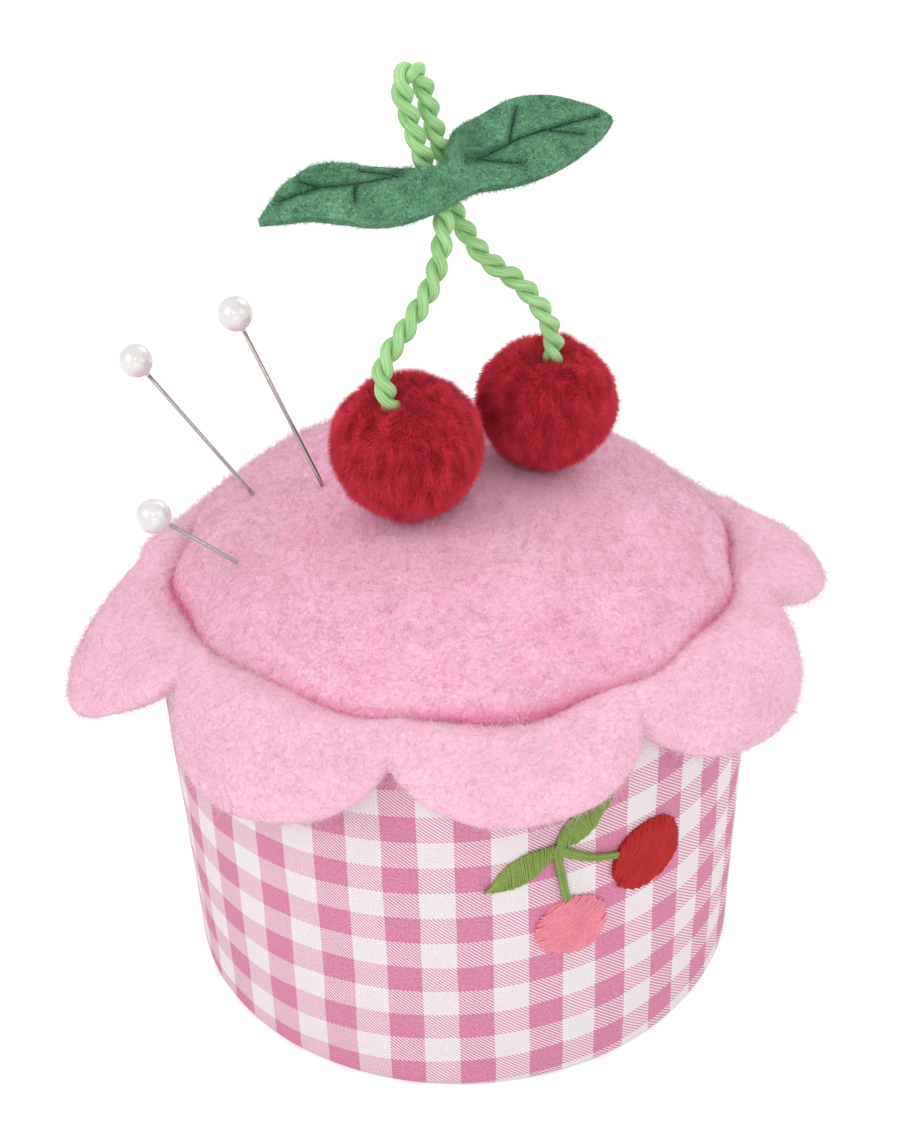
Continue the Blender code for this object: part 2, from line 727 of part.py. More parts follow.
def pin_placing(pin):
    """Frame of a pin: origin where it enters the felt, +Z out along the pin."""
    x, y, _ = round_point(math.radians(pin["angle"]), DOME_RADIUS - pin["inset"], 0)
    lean, bearing = math.radians(pin["lean"]), math.radians(pin["bearing"])
    flat = math.sin(lean)
    axis = Vector((-flat * math.cos(bearing), -flat * math.sin(bearing), math.cos(lean)))
    turn = axis.to_track_quat("Z", "Y").to_matrix().to_4x4()
    return Matrix.Translation(Vector((x, y, dome_height(x, y)))) @ turn


def pin_channel(pin):
    """Ends of a pin's path, from above the felt to the tip when the head meets the felt."""
    placing = pin_placing(pin)
    return placing @ Vector((0, 0, -PIN_REACH)), placing @ Vector((0, 0, 2 * PIN_HEAD_RADIUS))


def make_pin(name, pin):
    """Steel shaft with a point, and its pearl head, on an empty at the felt."""
    carrier = bpy.data.objects.new(f"{name}_axis", None)
    bpy.context.scene.collection.objects.link(carrier)
    carrier.matrix_world = pin_placing(pin)
    shows = pin["shows"]
    tip = shows - PIN_REACH
    mouth = shows - PIN_HEAD_RADIUS
    seat = mouth + PIN_SOCKET_DEPTH
    shaft_line = [
        (0, seat - CLEARANCE), (PIN_RADIUS, seat - CLEARANCE), (PIN_RADIUS, tip + PIN_POINT_LENGTH),
        (0, tip),
    ]
    shaft = turned(f"{name}_shaft", lambda angle: shaft_line, PIN_SIDES, steel(), True)

    socket = PIN_RADIUS + CLEARANCE
    rim = math.pi - math.asin(socket / PIN_HEAD_RADIUS)
    turns = [rim * k / HEAD_ROWS for k in range(HEAD_ROWS + 1)]
    head_line = [
        (PIN_HEAD_RADIUS * math.sin(t), shows + PIN_HEAD_RADIUS * math.cos(t)) for t in turns
    ]
    head_line = head_line + [(socket, seat), (0, seat)]
    head = turned(f"{name}_head", lambda angle: head_line, BALL_SIDES // 2, pearl(), True)
    for piece in (shaft, head):
        piece.parent = carrier


def main():
    clear_scene()
    make_drum()
    pin_paths = rods("pin_paths", [pin_channel(pin) for pin in PINS.values()], PIN_RADIUS + CLEARANCE)
    tack_paths = {}
    for name, cherry in CHERRIES.items():
        end, top = tack_line(cherry)
        room = Vector((0, 0, CLEARANCE))
        tack_paths[name] = rods(f"tack_path_{name}", [(end - room, top + room)], TACK_RADIUS + CLEARANCE)
    make_soft_top([pin_paths, *tack_paths.values()])
    make_skirt()
    for name, cherry in CHERRIES.items():
        make_cherry(name, cherry, tack_paths[name])
    make_stem()
    make_embroidery()
    for name, pin in PINS.items():
        make_pin(name, pin)


main()
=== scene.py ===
import json
import math
import random

import bmesh
import bpy
from bpy.props import FloatProperty, FloatVectorProperty, PointerProperty
from mathutils import Matrix, Quaternion, Vector, noise


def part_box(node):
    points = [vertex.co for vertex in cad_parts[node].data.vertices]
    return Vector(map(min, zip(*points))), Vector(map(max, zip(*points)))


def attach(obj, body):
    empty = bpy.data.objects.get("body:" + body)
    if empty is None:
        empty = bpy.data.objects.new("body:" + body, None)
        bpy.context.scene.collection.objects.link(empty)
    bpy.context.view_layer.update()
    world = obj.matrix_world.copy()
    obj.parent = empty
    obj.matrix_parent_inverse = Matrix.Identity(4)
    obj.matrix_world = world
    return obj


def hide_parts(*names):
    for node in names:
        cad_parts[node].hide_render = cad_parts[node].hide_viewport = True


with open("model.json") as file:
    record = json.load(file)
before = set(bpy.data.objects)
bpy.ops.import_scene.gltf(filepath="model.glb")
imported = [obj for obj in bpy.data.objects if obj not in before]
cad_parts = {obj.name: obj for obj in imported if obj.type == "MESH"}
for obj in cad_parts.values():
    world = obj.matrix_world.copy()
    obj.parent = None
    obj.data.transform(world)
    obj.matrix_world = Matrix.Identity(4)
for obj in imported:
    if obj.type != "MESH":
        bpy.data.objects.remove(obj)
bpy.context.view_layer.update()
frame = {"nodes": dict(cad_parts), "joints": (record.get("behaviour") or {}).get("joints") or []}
BOXES = {name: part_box(name) for name in frame["nodes"]}

bl_info = {
    "name": "Cherry pin cushion",
    "version": (1, 0, 0),
    "blender": (4, 5, 0),
    "location": "View3D > Sidebar > Pin cushion",
    "description": "Gingham drum, felt dome, plush cherries and pearl-headed pins",
    "category": "Add Mesh",
}

BODY = "cushion"
PIN_NAMES = ("pin_1", "pin_2", "pin_3")

# Corners of the seam between dome and skirt, where a stitch pulls the felt in, in degrees
SEAM_CORNERS = (-114, -85, -57, -19, 11.5, 41.5, 74.5, 100, 131, 160, 190, 219)

# Where the seam rides up the dome: the angle and the width of the place in degrees, and the rise
SEAM_RISES = ((-40, 17, 0.0016), (46, 14, 0.0013), (128, 28, -0.0010))

# Skirt: notch angles in degrees, then for each scallop that follows its reach beyond the rim,
# its drop below the seam and the power of its curve, which is higher on a more pointed one
NOTCH_ANGLES = (-98.0, -56.3, -11.7, 32.4, 78.8, 113.0, 155.0, 207.0)
SCALLOP_REACH = (0.0108, 0.0082, 0.0077, 0.0081, 0.0087, 0.0048, 0.0048, 0.0048)
SCALLOP_DROP = (0.0114, 0.0076, 0.0052, 0.0067, 0.0069, 0.0080, 0.0080, 0.0080)
SCALLOP_CURVE = (1.40, 0.78, 0.78, 0.84, 1.15, 0.78, 0.78, 0.78)

# Shares of the way from the seam to the skirt's edge where its felt is shaped
SKIRT_SHARES = (
    0.0, 0.04, 0.08, 0.12, 0.16, 0.2, 0.26, 0.33, 0.41, 0.5, 0.6, 0.7, 0.78, 0.85, 0.91, 0.955, 0.985,
)

# How far in and how far down from the crease the skirt starts, the shares between which it swells
# from the pinched seam to its full thickness, and the share from which its edge is rounded
SKIRT_TUCK, SKIRT_START_DROP = 0.0016, 0.0012
PINCH_FROM, PINCH_TO, EDGE_FROM = 0.04, 0.34, 0.66

# Slopes in degrees of the rows in which the dome's edge rolls into the crease
ROLL_SLOPES = range(48, 145, 8)

# Most that the seam is drawn in between two corners, as a share of its radius, and how much less behind
SEAM_DRAW, SEAM_DRAW_LESS = 0.03, 0.015

# Seam: number of stitches, radius of the thread, how much further down the felt it lies behind, how
# far a stitch stands out in its middle and how far its ends dive in
SEAM_STITCHES, SEAM_THREAD, SEAM_LOWER = 84, 0.00017, math.radians(24)
STITCH_OUT, STITCH_DIVE = 0.0002, 0.0005

# Dents in the felt: depth, and width in metres for a pin or as a share of its radius for a cherry
PIN_DENT, PIN_DENT_WIDTH = 0.0004, 0.0009
CHERRY_DENT, CHERRY_DENT_SHARE = 0.0005, 0.5

# Unevenness of soft pieces: pairs of the size of the lumps and their depth
CLOTH_LUMPS = ((0.013, 0.00022), (0.004, 0.00006))
DOME_LUMPS = ((0.012, 0.0004), (0.0035, 0.0001))
SKIRT_LUMPS = ((0.010, 0.0005), (0.003, 0.00012))
CHERRY_LUMPS = ((0.0035, 0.0004),)
LEAF_LUMPS = ((0.007, 0.0005),)

# Fibres: how many grow on a square metre and their radius, then how far each one stands up, leans
# with its clump, strays and hangs, and the size of a clump
FELT_NAP = {
    "Density": 1.3e7, "Thickness": 0.000020, "Stand": 0.22, "Comb": 1.2, "Stray": 0.6, "Clump": 0.004,
}
FELT_FUZZ = {
    "Density": 0.45e7, "Thickness": 0.000030, "Stand": 0.04, "Comb": 1.3, "Stray": 0.32, "Clump": 0.007,
}
CHERRY_PILE = {
    "Density": 8.5e7, "Thickness": 0.000034, "Stand": 1.0, "Comb": 1.6, "Stray": 0.35, "Clump": 0.0018,
    "Fall": 0.7,
}
LEAF_NAP = {
    "Density": 4.5e7, "Thickness": 0.000018, "Stand": 0.1, "Comb": 1.5, "Stray": 0.5, "Clump": 0.005,
    "Length": 0.0010,
}

# Underside: the felt disc's line as shares of its radius and thickness
BASE_LINE = (
    (0.02, 0.0), (0.3, 0.0), (0.6, 0.0), (0.85, 0.0), (0.97, 0.0), (1.0, 0.3), (1.0, 0.7), (0.97, 1.0),
    (0.5, 1.0), (0.02, 1.0),
)

# Cherries: the direction that each dimple faces, and the loop and radius of the thread that shuts it
DIMPLE_WAYS = {"front": (-0.25, -0.22, 0.943), "rear": (0.10, -0.11, 0.985)}
GATHER_RADIUS, GATHER_THREAD = 0.0016, 0.00018

# Distance between the points of a smooth line, and of the twisted cord
ROUTE_STEP, CORD_STEP = 0.0004, 0.00035

# Stem cord: chosen points, with heights above the top of the dome
LEFT_LEG = (
    (-0.0073, -0.0091, 0.0172), (-0.0067, -0.0079, 0.0192), (-0.0040, -0.0061, 0.0226),
    (-0.0015, -0.0042, 0.0264), (-0.0003, -0.0022, 0.0305), (-0.0003, -0.0002, 0.0340),
)
LOOP = (
    (-0.0017, 0.0011, 0.0372), (-0.0029, 0.0012, 0.0413), (-0.0036, 0.0012, 0.0440),
    (-0.0042, 0.0012, 0.0467), (-0.0039, 0.0017, 0.0479), (-0.0031, 0.0023, 0.0483),
    (-0.0025, 0.0029, 0.0476), (-0.0019, 0.0033, 0.0460), (-0.0013, 0.0033, 0.0430),
    (-0.0006, 0.0033, 0.0400), (0.0004, 0.0033, 0.0363),
)
RIGHT_LEG = (
    (0.0009, 0.0029, 0.0317), (0.0030, 0.0024, 0.0276), (0.0048, 0.0022, 0.0252),
    (0.0077, 0.0020, 0.0229), (0.0097, 0.0018, 0.0205), (0.0112, 0.0014, 0.0179),
)

# Leaf: lower and upper edge from the left tip to the right tip, in the leaf's own plane
LEAF_LOWER = (
    (-0.0191, -0.0068), (-0.0166, -0.0066), (-0.0135, -0.0061), (-0.0103, -0.0064),
    (-0.0072, -0.0070), (-0.0046, -0.0070), (-0.0020, -0.0064), (0.0004, -0.0056),
    (0.0016, -0.0048), (0.0028, -0.0039), (0.0038, -0.0032), (0.0052, -0.0026),
    (0.0087, -0.0019), (0.0122, -0.0007), (0.0152, 0.0010), (0.0178, 0.0033), (0.0191, 0.0053),
)
LEAF_UPPER = (
    (-0.0191, -0.0068), (-0.0182, -0.0050), (-0.0165, -0.0022), (-0.0135, 0.0003),
    (-0.0102, 0.0009), (-0.0072, 0.0004), (-0.0042, -0.0003), (-0.0018, -0.0006),
    (0.0008, -0.0002), (0.0013, 0.0018), (0.0024, 0.0046), (0.0048, 0.0065),
    (0.0084, 0.0087), (0.0122, 0.0087), (0.0155, 0.0075), (0.0179, 0.0065), (0.0191, 0.0053),
)
LEAF_VEINS = (
    ((0.0030, 0.0002), (0.0064, 0.0020), (0.0092, 0.0036), (0.0134, 0.0048), (0.0175, 0.0057)),
    ((0.0078, 0.0028), (0.0082, 0.0050), (0.0087, 0.0073)),
    ((0.0044, 0.0008), (0.0066, 0.0006), (0.0091, 0.0004)),
    ((0.0114, 0.0044), (0.0136, 0.0040), (0.0158, 0.0035)),
    (
        (-0.0036, -0.0013), (-0.0064, -0.0016), (-0.0091, -0.0019), (-0.0126, -0.0023),
        (-0.0170, -0.0043),
    ),
    ((-0.0041, -0.0013), (-0.0062, -0.0007), (-0.0082, -0.0002)),
    ((-0.0088, -0.0022), (-0.0089, -0.0032), (-0.0088, -0.0042)),
    ((-0.0126, -0.0023), (-0.0137, -0.0020), (-0.0148, -0.0017)),
)

# Leaf: depth and half width of the groove of a vein and the radius of its thread, depth and length
# of the curl of the blades, how far and which way the waist folds up in front of the cord, its
# middle, width and lower and upper end, and the width of the felt that the leaf is cut from
VEIN_GROOVE, VEIN_WIDTH, VEIN_THREAD = 0.0003, 0.0005, 0.00017
LEAF_CURL, LEAF_CURL_LENGTH = 0.0005, 0.0095
WAIST_MOVE, WAIST_WAY = 0.0036, (0, -0.82, 0.57)
WAIST_MIDDLE, WAIST_WIDTH, WAIST_FOOT, WAIST_TOP = -0.0004, 0.0030, -0.0065, 0.0006

# Embroidered cherries: the place from the crossing, the slant of the stitches in degrees, the gap
# between them, the seed of their ends and how far the stalk sags
SEWN_CHERRIES = {
    "red": ((0.0120, -0.0058), 70, 0.00022, 31, 0.0006),
    "pink": ((0.0022, -0.0124), 35, 0.00027, 32, 0.0),
}

# Embroidered leaves: the tip from the crossing and the seed of the stitches, then the half width
SEWN_LEAVES = {"left": ((-0.0075, -0.0048), 33), "right": ((0.0062, 0.0054), 34)}
SEWN_LEAF_WIDTH = 0.0018

# Padding under the stitches: share of its outline and height above the cloth
PAD_LINE = ((0.98, -0.0001), (0.95, 0.0003), (0.75, 0.00042), (0.4, 0.00048), (0.1, 0.0005))

# Pins: shares of the shaft's radius and of the point's length, then the collar of lacquer below a
# head in radii of the shaft and of the head
PIN_POINT = ((0.15, 0.0), (0.55, 0.3), (0.9, 0.7), (1.0, 1.0))
PIN_COLLAR = ((1.9, 1.02), (1.35, 1.1), (1.05, 1.16))

# Inside: colours of card and loose fibre
CARD_COLOUR = (0.62, 0.52, 0.40)
FIBRE_COLOUR = (0.90, 0.89, 0.86)

# Lamps: where each one stands and its width, all turned to one place in the cushion
LAMPS = {
    "front": ((-0.03, -0.40, 0.42), 0.09),
    "bounce": ((0.1, -0.60, 0.06), 0.4),
    "key": ((-0.60, -0.35, 0.55), 0.6),
    "fill": ((0.65, -0.35, 0.5), 0.6),
    "rim": ((0.45, 0.60, 0.6), 0.6),
}
LAMP_AIM = (0.0, 0.0, 0.05)
FLOOR_HALF_WIDTH = 2.0


def length(label, default, words):
    """A setting in metres."""
    return FloatProperty(name=label, description=words, default=default, unit="LENGTH", precision=5)


def number(label, default, words):
    """A setting with no unit."""
    return FloatProperty(name=label, description=words, default=default, precision=4)


def turn(label, degrees, words):
    """A setting that is an angle."""
    return FloatProperty(
        name=label, description=words, default=math.radians(degrees), subtype="ANGLE"
    )


def colour(label, default, words):
    """A setting that is a linear colour."""
    return FloatVectorProperty(
        name=label, description=words, default=default, subtype="COLOR", size=3, min=0.0, max=1.0
    )


def place(label, default, words):
    """A setting that is a point in metres."""
    return FloatVectorProperty(
        name=label, description=words, default=default, subtype="TRANSLATION", size=3
    )


class StageSettings(bpy.types.PropertyGroup):
    """Camera, floor and light."""

    camera_place: place("Camera", (0.0, -0.26594, 0.2368), "Where the camera stands")
    camera_aim: place("Aim", (0.0003, 0.0, 0.0518), "What the camera looks at")
    camera_roll: turn("Roll", -1.56, "Turn of the camera about its view")
    lens: number("Lens", 87.7, "Focal length in millimetres on a picture 36 mm tall")
    sky: number("Sky", 0.72, "Level of the even light from all round")
    front: number("Front lamp", 0.25, "Power of the lamp above the camera, in watts")
    key: number("Key lamp", 2.2, "Power of the large lamp at the left, in watts")
    fill: number("Fill lamp", 1.1, "Power of the large lamp at the right, in watts")
    rim: number("Rim lamp", 2.0, "Power of the large lamp at the back right, in watts")
    bounce: number("Bounce", 0.5, "Power of the low lamp at the front, in watts")
    floor: colour("Floor", (0.86, 0.86, 0.86), "Colour of the floor")
    glow: number("Floor glow", 0.36, "White that the camera sees on the floor")


class DrumSettings(bpy.types.PropertyGroup):
    """Gingham drum."""

    base_radius: length("Base radius", 0.0332, "Outside radius of the cloth at the table")
    taper: number("Taper", 0.0487, "Growth of the radius with height")
    rim_height: length("Rim height", 0.0472, "Height of the rim at the back")
    rim_width: length("Rim width", 0.0031, "Cloth across the top of the rim")
    front_lift: length("Front lift", 0.002, "How far rim and top rise at the front")
    rim_fold: length("Rim fold", 0.0006, "Rounding of the cloth over the rim")
    base_fold: length("Base fold", 0.0011, "Rounding of the cloth under the base")
    hem_depth: length("Hem depth", 0.005, "Cloth turned down inside the rim")
    hem_width: length("Hem width", 0.007, "Cloth turned in under the base")
    cloth: length("Cloth thickness", 0.0004, "Thickness of the cotton")
    lap: turn("Lap", 6.0, "Overlap of the cloth's seam at the back")
    check_width: length("Check width", 0.00409, "Width of one check")
    check_start: number("Check start", 0.2235, "Where the checks start at the front, in checks")
    check_height: length("Check height", 0.00388, "Height of one check")
    check_foot: number("Check foot", -0.2000, "Where the checks start at the table, in checks")
    slant: length("Slant", 0.00207, "How far the rows of checks tip from side to side")
    threads: number("Threads", 8.0, "Diagonal ribs of the weave in one check")
    white: colour("White", (0.85, 0.79, 0.80), "Undyed cotton")
    pink: colour("Pink", (0.66, 0.142, 0.32), "Dyed cotton")


class TopSettings(bpy.types.PropertyGroup):
    """Felt dome and skirt."""

    seam_height: length("Seam height", 0.0528, "Height of the crease at the back")
    dome_rise: length("Dome rise", 0.0126, "Height of the dome above its seam")
    swell: length("Swell", 0.0004, "How far the stuffing pushes the felt out between its stitches")
    dome_fullness: number("Dome fullness", 0.85, "Power of the dome's curve")
    dome_roll: length("Dome roll", 0.0072, "Rounding of the dome into the crease")
    roll_from: number("Roll start", 0.91, "Share of the dome's radius where its edge starts to roll")
    crease: turn("Crease", 72.0, "Slope of the dome where the skirt meets it")
    skirt_thickness: length("Skirt thickness", 0.0034, "Plump felt of the skirt")
    skirt_droop: number("Skirt droop", 1.8, "Power of the skirt's fall")
    skirt_pinch: number("Skirt pinch", 0.2, "Share of its thickness left at the seam")
    notch_reach: length("Notch reach", 0.0013, "Reach of the notches beyond the rim")
    notch_drop: length("Notch drop", 0.0021, "Drop of the notches below the seam")
    back_droop: number("Back droop", 1.1, "Power of the skirt's fall behind, where it hangs close")
    back_fall: length("Back fall", 0.0010, "How much lower the skirt starts behind")
    back_thickness: number("Back thickness", 0.55, "Share of its thickness that the skirt has behind")
    nap: length("Nap", 0.0010, "Length of the short fibres on the felt")
    fuzz_length: length("Fuzz length", 0.0021, "Length of the sparse longer hairs on the felt")
    felt_light: colour("Felt", (0.94, 0.58, 0.72), "Lit fibres of the pink felt")
    felt_dark: colour("Felt shade", (0.88, 0.36, 0.54), "Deeper fibres of the pink felt")
    fuzz: colour("Fuzz", (0.97, 0.70, 0.81), "Loose fibres on the pink felt")
    hair: colour("Hairs", (1.0, 0.76, 0.85), "Sparse longer hairs on the pink felt")
    deep: colour("Crease shade", (0.78, 0.14, 0.34), "Felt deep in the crease")
    thread: colour("Seam thread", (0.76, 0.19, 0.38), "Thread in the crease")


class CherrySettings(bpy.types.PropertyGroup):
    """Plush cherries."""

    core_share: number("Core", 0.92, "Share of the cherry's radius below the pile")
    dimple: number("Dimple", 0.25, "Depth of the dimple as a share of the radius")
    dimple_turn: turn("Dimple width", 25.0, "Angle over which the dimple fades")
    pile: length("Pile", 0.0013, "Length of the plush fibres")
    spread: number("Spread", 1.04, "Width of a cherry as a share of its height")
    drift: length("Drift", 0.0001, "How far a cherry bulges to its left")
    tip: colour("Pile tips", (1.0, 0.062, 0.11), "Tips of the plush fibres")
    # Painted shade: the roots' dark colour stands in for the shade deep in the pile
    root: colour("Pile roots", (0.34, 0.008, 0.020), "Roots of the plush fibres")


class StemSettings(bpy.types.PropertyGroup):
    """Twisted cord and felt leaf."""

    ply_radius: length("Ply radius", 0.00062, "Radius of one of the two plies")
    ply_offset: length("Ply offset", 0.00060, "Distance of a ply from the middle of the cord")
    pitch: length("Pitch", 0.0050, "Length of one full turn of the twist")
    cord_light: colour("Cord", (0.42, 0.72, 0.31), "Lit strands of the cord")
    cord_dark: colour("Cord shade", (0.14, 0.38, 0.10), "Deeper strands of the cord")
    leaf_tilt: turn("Leaf tilt", 30.0, "Lean of the leaf towards the front")
    leaf_thickness: length("Leaf thickness", 0.0012, "Thickness of the leaf's felt")
    leaf_light: colour("Leaf", (0.19, 0.475, 0.265), "Lit fibres of the leaf")
    leaf_dark: colour("Leaf shade", (0.03, 0.13, 0.06), "Deeper fibres of the leaf")
    # Besides the vein thread, the leaf's felt and nap turn to this colour near a vein: its dark line,
    # widened by painted shade of its groove
    vein: colour("Veins", (0.014, 0.060, 0.030), "Thread of the leaf's veins")


class EmbroiderySettings(bpy.types.PropertyGroup):
    """Stitched cherries on the drum. Places are arc length and height from the crossing."""

    angle: turn("Angle", 17.0, "Where the crossing lies round the drum")
    height: length("Height", 0.037, "Height of the crossing")
    red_radius: length("Red cherry", 0.0048, "Radius of the red cherry")
    pink_radius: length("Pink cherry", 0.0043, "Radius of the pink cherry")
    strand: length("Strand", 0.00014, "Radius of one strand of floss")
    green: colour("Green floss", (0.27, 0.39, 0.09), "Leaves and stalks")
    red: colour("Red floss", (0.53, 0.026, 0.023), "Red cherry")
    pink: colour("Pink floss", (0.96, 0.32, 0.40), "Pink cherry")


class PinSettings(bpy.types.PropertyGroup):
    """Pearl-headed pins."""

    shaft_radius: length("Shaft radius", 0.00025, "Radius of a pin's shaft")
    point: length("Point", 0.0025, "Length of a pin's point")
    reach: length("Reach", 0.036, "From the middle of the head to the point")
    pearl: colour("Pearl", (0.78, 0.75, 0.74), "Lacquer of the heads")
    steel: colour("Steel", (0.38, 0.33, 0.31), "Plated steel of the shafts")


class CushionSettings(bpy.types.PropertyGroup):
    """All settings of the pin cushion."""

    stage: PointerProperty(type=StageSettings)
    drum: PointerProperty(type=DrumSettings)
    top: PointerProperty(type=TopSettings)
    cherry: PointerProperty(type=CherrySettings)
    stem: PointerProperty(type=StemSettings)
    embroidery: PointerProperty(type=EmbroiderySettings)
    pin: PointerProperty(type=PinSettings)


def settings():
    """The scene's settings."""
    return bpy.context.scene.pin_cushion


class Wire:
    """A node's socket that takes part in sums: each operation adds a Math node."""

    def __init__(self, tree, socket):
        self.tree = tree
        self.socket = socket

    def other(self, name):
        """Another output of the same node."""
        return Wire(self.tree, self.socket.node.outputs[name])

    def math(self, operation, *values):
        """A Math node on the given values."""
        sockets = dict(enumerate(values))
        return add_node(self.tree, "ShaderNodeMath", {"operation": operation}, sockets)

    def __add__(self, value):
        return self.math("ADD", self, value)

    __radd__ = __add__

    def __sub__(self, value):
        return self.math("SUBTRACT", self, value)

    def __rsub__(self, value):
        return self.math("SUBTRACT", value, self)

    def __mul__(self, value):
        return self.math("MULTIPLY", self, value)

    __rmul__ = __mul__

    def __truediv__(self, value):
        return self.math("DIVIDE", self, value)

    def __rtruediv__(self, value):
        return self.math("DIVIDE", value, self)

    def __mod__(self, value):
        return self.math("FLOORED_MODULO", self, value)

    def __lt__(self, value):
        return self.math("LESS_THAN", self, value)

    def sine(self):
        return self.math("SINE", self)

    def cosine(self):
        return self.math("COSINE", self)

    def size(self):
        return self.math("ABSOLUTE", self)

    def swing(self, weight):
        """The value about its middle of a half, times a weight."""
        return (self - 0.5) * weight

    def within(self):
        """The value kept between 0 and 1."""
        return self.math("MINIMUM", self.math("MAXIMUM", self, 0.0), 1.0)


def add_node(tree, kind, options=None, values=None, output=0):
    """Adds a node: its options first, then the values or wires of its sockets."""
    node = tree.nodes.new(kind)
    for name, value in (options or {}).items():
        setattr(node, name, value)
    for name, value in (values or {}).items():
        if isinstance(value, Wire):
            tree.links.new(value.socket, node.inputs[name])
        else:
            node.inputs[name].default_value = value
    return None if output is None else Wire(tree, node.outputs[output])


def vector_math(tree, operation, first, second):
    """A Vector Math node on two values, or on a vector and the number that scales it."""
    socket = "Scale" if operation == "SCALE" else 1
    return add_node(
        tree, "ShaderNodeVectorMath", {"operation": operation}, {0: first, socket: second}
    )


class Finish:
    """A material in the making: one Principled shader and the nodes that feed it."""

    def __init__(self, name, **constants):
        self.material = bpy.data.materials.new(name)
        self.material.use_nodes = True
        self.tree = self.material.node_tree
        self.shader = self.tree.nodes["Principled BSDF"]
        for socket, value in constants.items():
            self.shader.inputs[socket.replace("_", " ")].default_value = value

    def node(self, kind, options=None, values=None, output=0):
        return add_node(self.tree, kind, options, values, output)

    def feed(self, socket, wire):
        self.tree.links.new(wire.socket, self.shader.inputs[socket])

    def where(self):
        """Object coordinates."""
        return self.node("ShaderNodeTexCoord", output="Object")

    def stored(self, name, output="Fac"):
        """What the mesh stores under a name."""
        return self.node("ShaderNodeAttribute", {"attribute_name": name}, None, output)

    def spots(self, where, size, detail=2.0, distortion=0.0):
        """Smooth noise with spots of about the given size."""
        values = {"Vector": where, "Scale": 1 / size, "Detail": detail, "Distortion": distortion}
        return self.node("ShaderNodeTexNoise", None, values)

    def mix(self, share, first, second):
        """A colour between two others."""
        ends = [c if isinstance(c, Wire) else (*c, 1.0) for c in (first, second)]
        values = {0: share, 6: ends[0], 7: ends[1]}
        return self.node("ShaderNodeMix", {"data_type": "RGBA"}, values, 2)

    def bump(self, height, depth, strength=1.0):
        """Relief of the given depth in metres."""
        values = {"Height": height, "Distance": depth, "Strength": strength}
        self.feed("Normal", self.node("ShaderNodeBump", None, values))


def felt_finish(name, dark, light, deep, fibre=0.0004):
    """Pressed wool: tangled fibres, lighter where they stand up, and the deep colour where the mesh's
    depth attribute says so: painted shade in a crease, and on the leaf a vein's dark line widened by
    painted shade of its groove.
    """
    paint = Finish(name, Roughness=1.0, Specular_IOR_Level=0.1, Sheen_Weight=0.15, Sheen_Roughness=0.6)
    where = paint.where()
    fibres = paint.spots(where, fibre, 5.0, 1.5)
    patches = paint.spots(where, 14 * fibre, 2.0)
    share = (fibres.swing(3.0) + patches.swing(0.8) + 0.55).within()
    # Painted shade: the colour turns to the deep one where the depth attribute marks a crease or a
    # vein's groove
    paint.feed("Base Color", paint.mix(paint.stored("depth"), paint.mix(share, dark, light), deep))
    paint.bump(fibres, 0.5 * fibre, 0.5)
    return paint.material


def nap_finish(name, dark, light, deep):
    """Loose fibres on felt, paler towards their tips, and the deep colour where the mesh's depth
    attribute says so: painted shade in a crease, and on the leaf a vein's dark line with painted shade
    of its groove.
    """
    paint = Finish(name, Roughness=1.0, Specular_IOR_Level=0.1, Sheen_Weight=0.3, Sheen_Roughness=0.4)
    tufts = paint.spots(paint.where(), 0.0012, 3.0)
    share = (paint.stored("tip") * 0.5 + tufts.swing(2.6) + 0.4).within()
    # Painted shade: the colour turns to the deep one where the depth attribute marks a crease or a
    # vein's groove
    paint.feed("Base Color", paint.mix(paint.stored("depth"), paint.mix(share, dark, light), deep))
    return paint.material


def gingham_finish():
    """Cotton woven from white and pink threads, in checks that follow the cloth's own map."""
    drum = settings().drum
    paint = Finish("gingham", Roughness=0.85, Specular_IOR_Level=0.2, Sheen_Weight=0.1)
    map_place = paint.node("ShaderNodeUVMap", {"uv_map": "cloth"})
    wander = paint.spots(map_place, 3.0, 2.0)
    split = paint.node("ShaderNodeSeparateXYZ", None, {0: map_place}, "X")
    across = split + wander.swing(0.10)
    along = split.other("Y") + wander.swing(0.10)
    warp = across % 2 < 1
    weft = along % 2 < 1
    diagonal = (across + along) * drum.threads
    warp_on_top = diagonal % 1 < 0.57
    dyed = warp_on_top * warp + (1 - warp_on_top) * weft
    slub = paint.spots(map_place, 0.09, 3.0)
    worn = (dyed * (0.86 + slub.swing(0.5))).within()
    paint.feed("Base Color", paint.mix(worn, drum.white, drum.pink))
    rib = (diagonal * math.pi).sine().size()
    yarn = (across * (2 * math.pi * drum.threads)).sine() * 0.25
    paint.bump(rib + yarn + slub * 0.6, 0.00009, 0.7)
    return paint.material


def plush_finish():
    """Short red pile, dark at its roots: painted shade that stands in for the shade deep in the pile.
    """
    cherry = settings().cherry
    paint = Finish("red_pile", Roughness=0.7, Specular_IOR_Level=0.2)
    drawn = vector_math(paint.tree, "MULTIPLY", paint.where(), (1.0, 1.0, 0.4))
    tufts = paint.spots(drawn, 0.0013, 3.0, 0.6)
    # Painted shade: the colour runs from the dark root shade at a fibre's foot to the tip colour
    share = (paint.stored("tip") * 1.1 + tufts.swing(1.8)).within()
    paint.feed("Base Color", paint.mix(share, cherry.root, cherry.tip))
    return paint.material


def backing_finish():
    """Cloth below the plush, mostly in the pile's dark root colour, which is painted shade."""
    cherry = settings().cherry
    paint = Finish("plush_backing", Roughness=1.0)
    share = paint.spots(paint.where(), 0.001, 3.0) * 0.4
    paint.feed("Base Color", paint.mix(share, cherry.root, cherry.tip))
    return paint.material


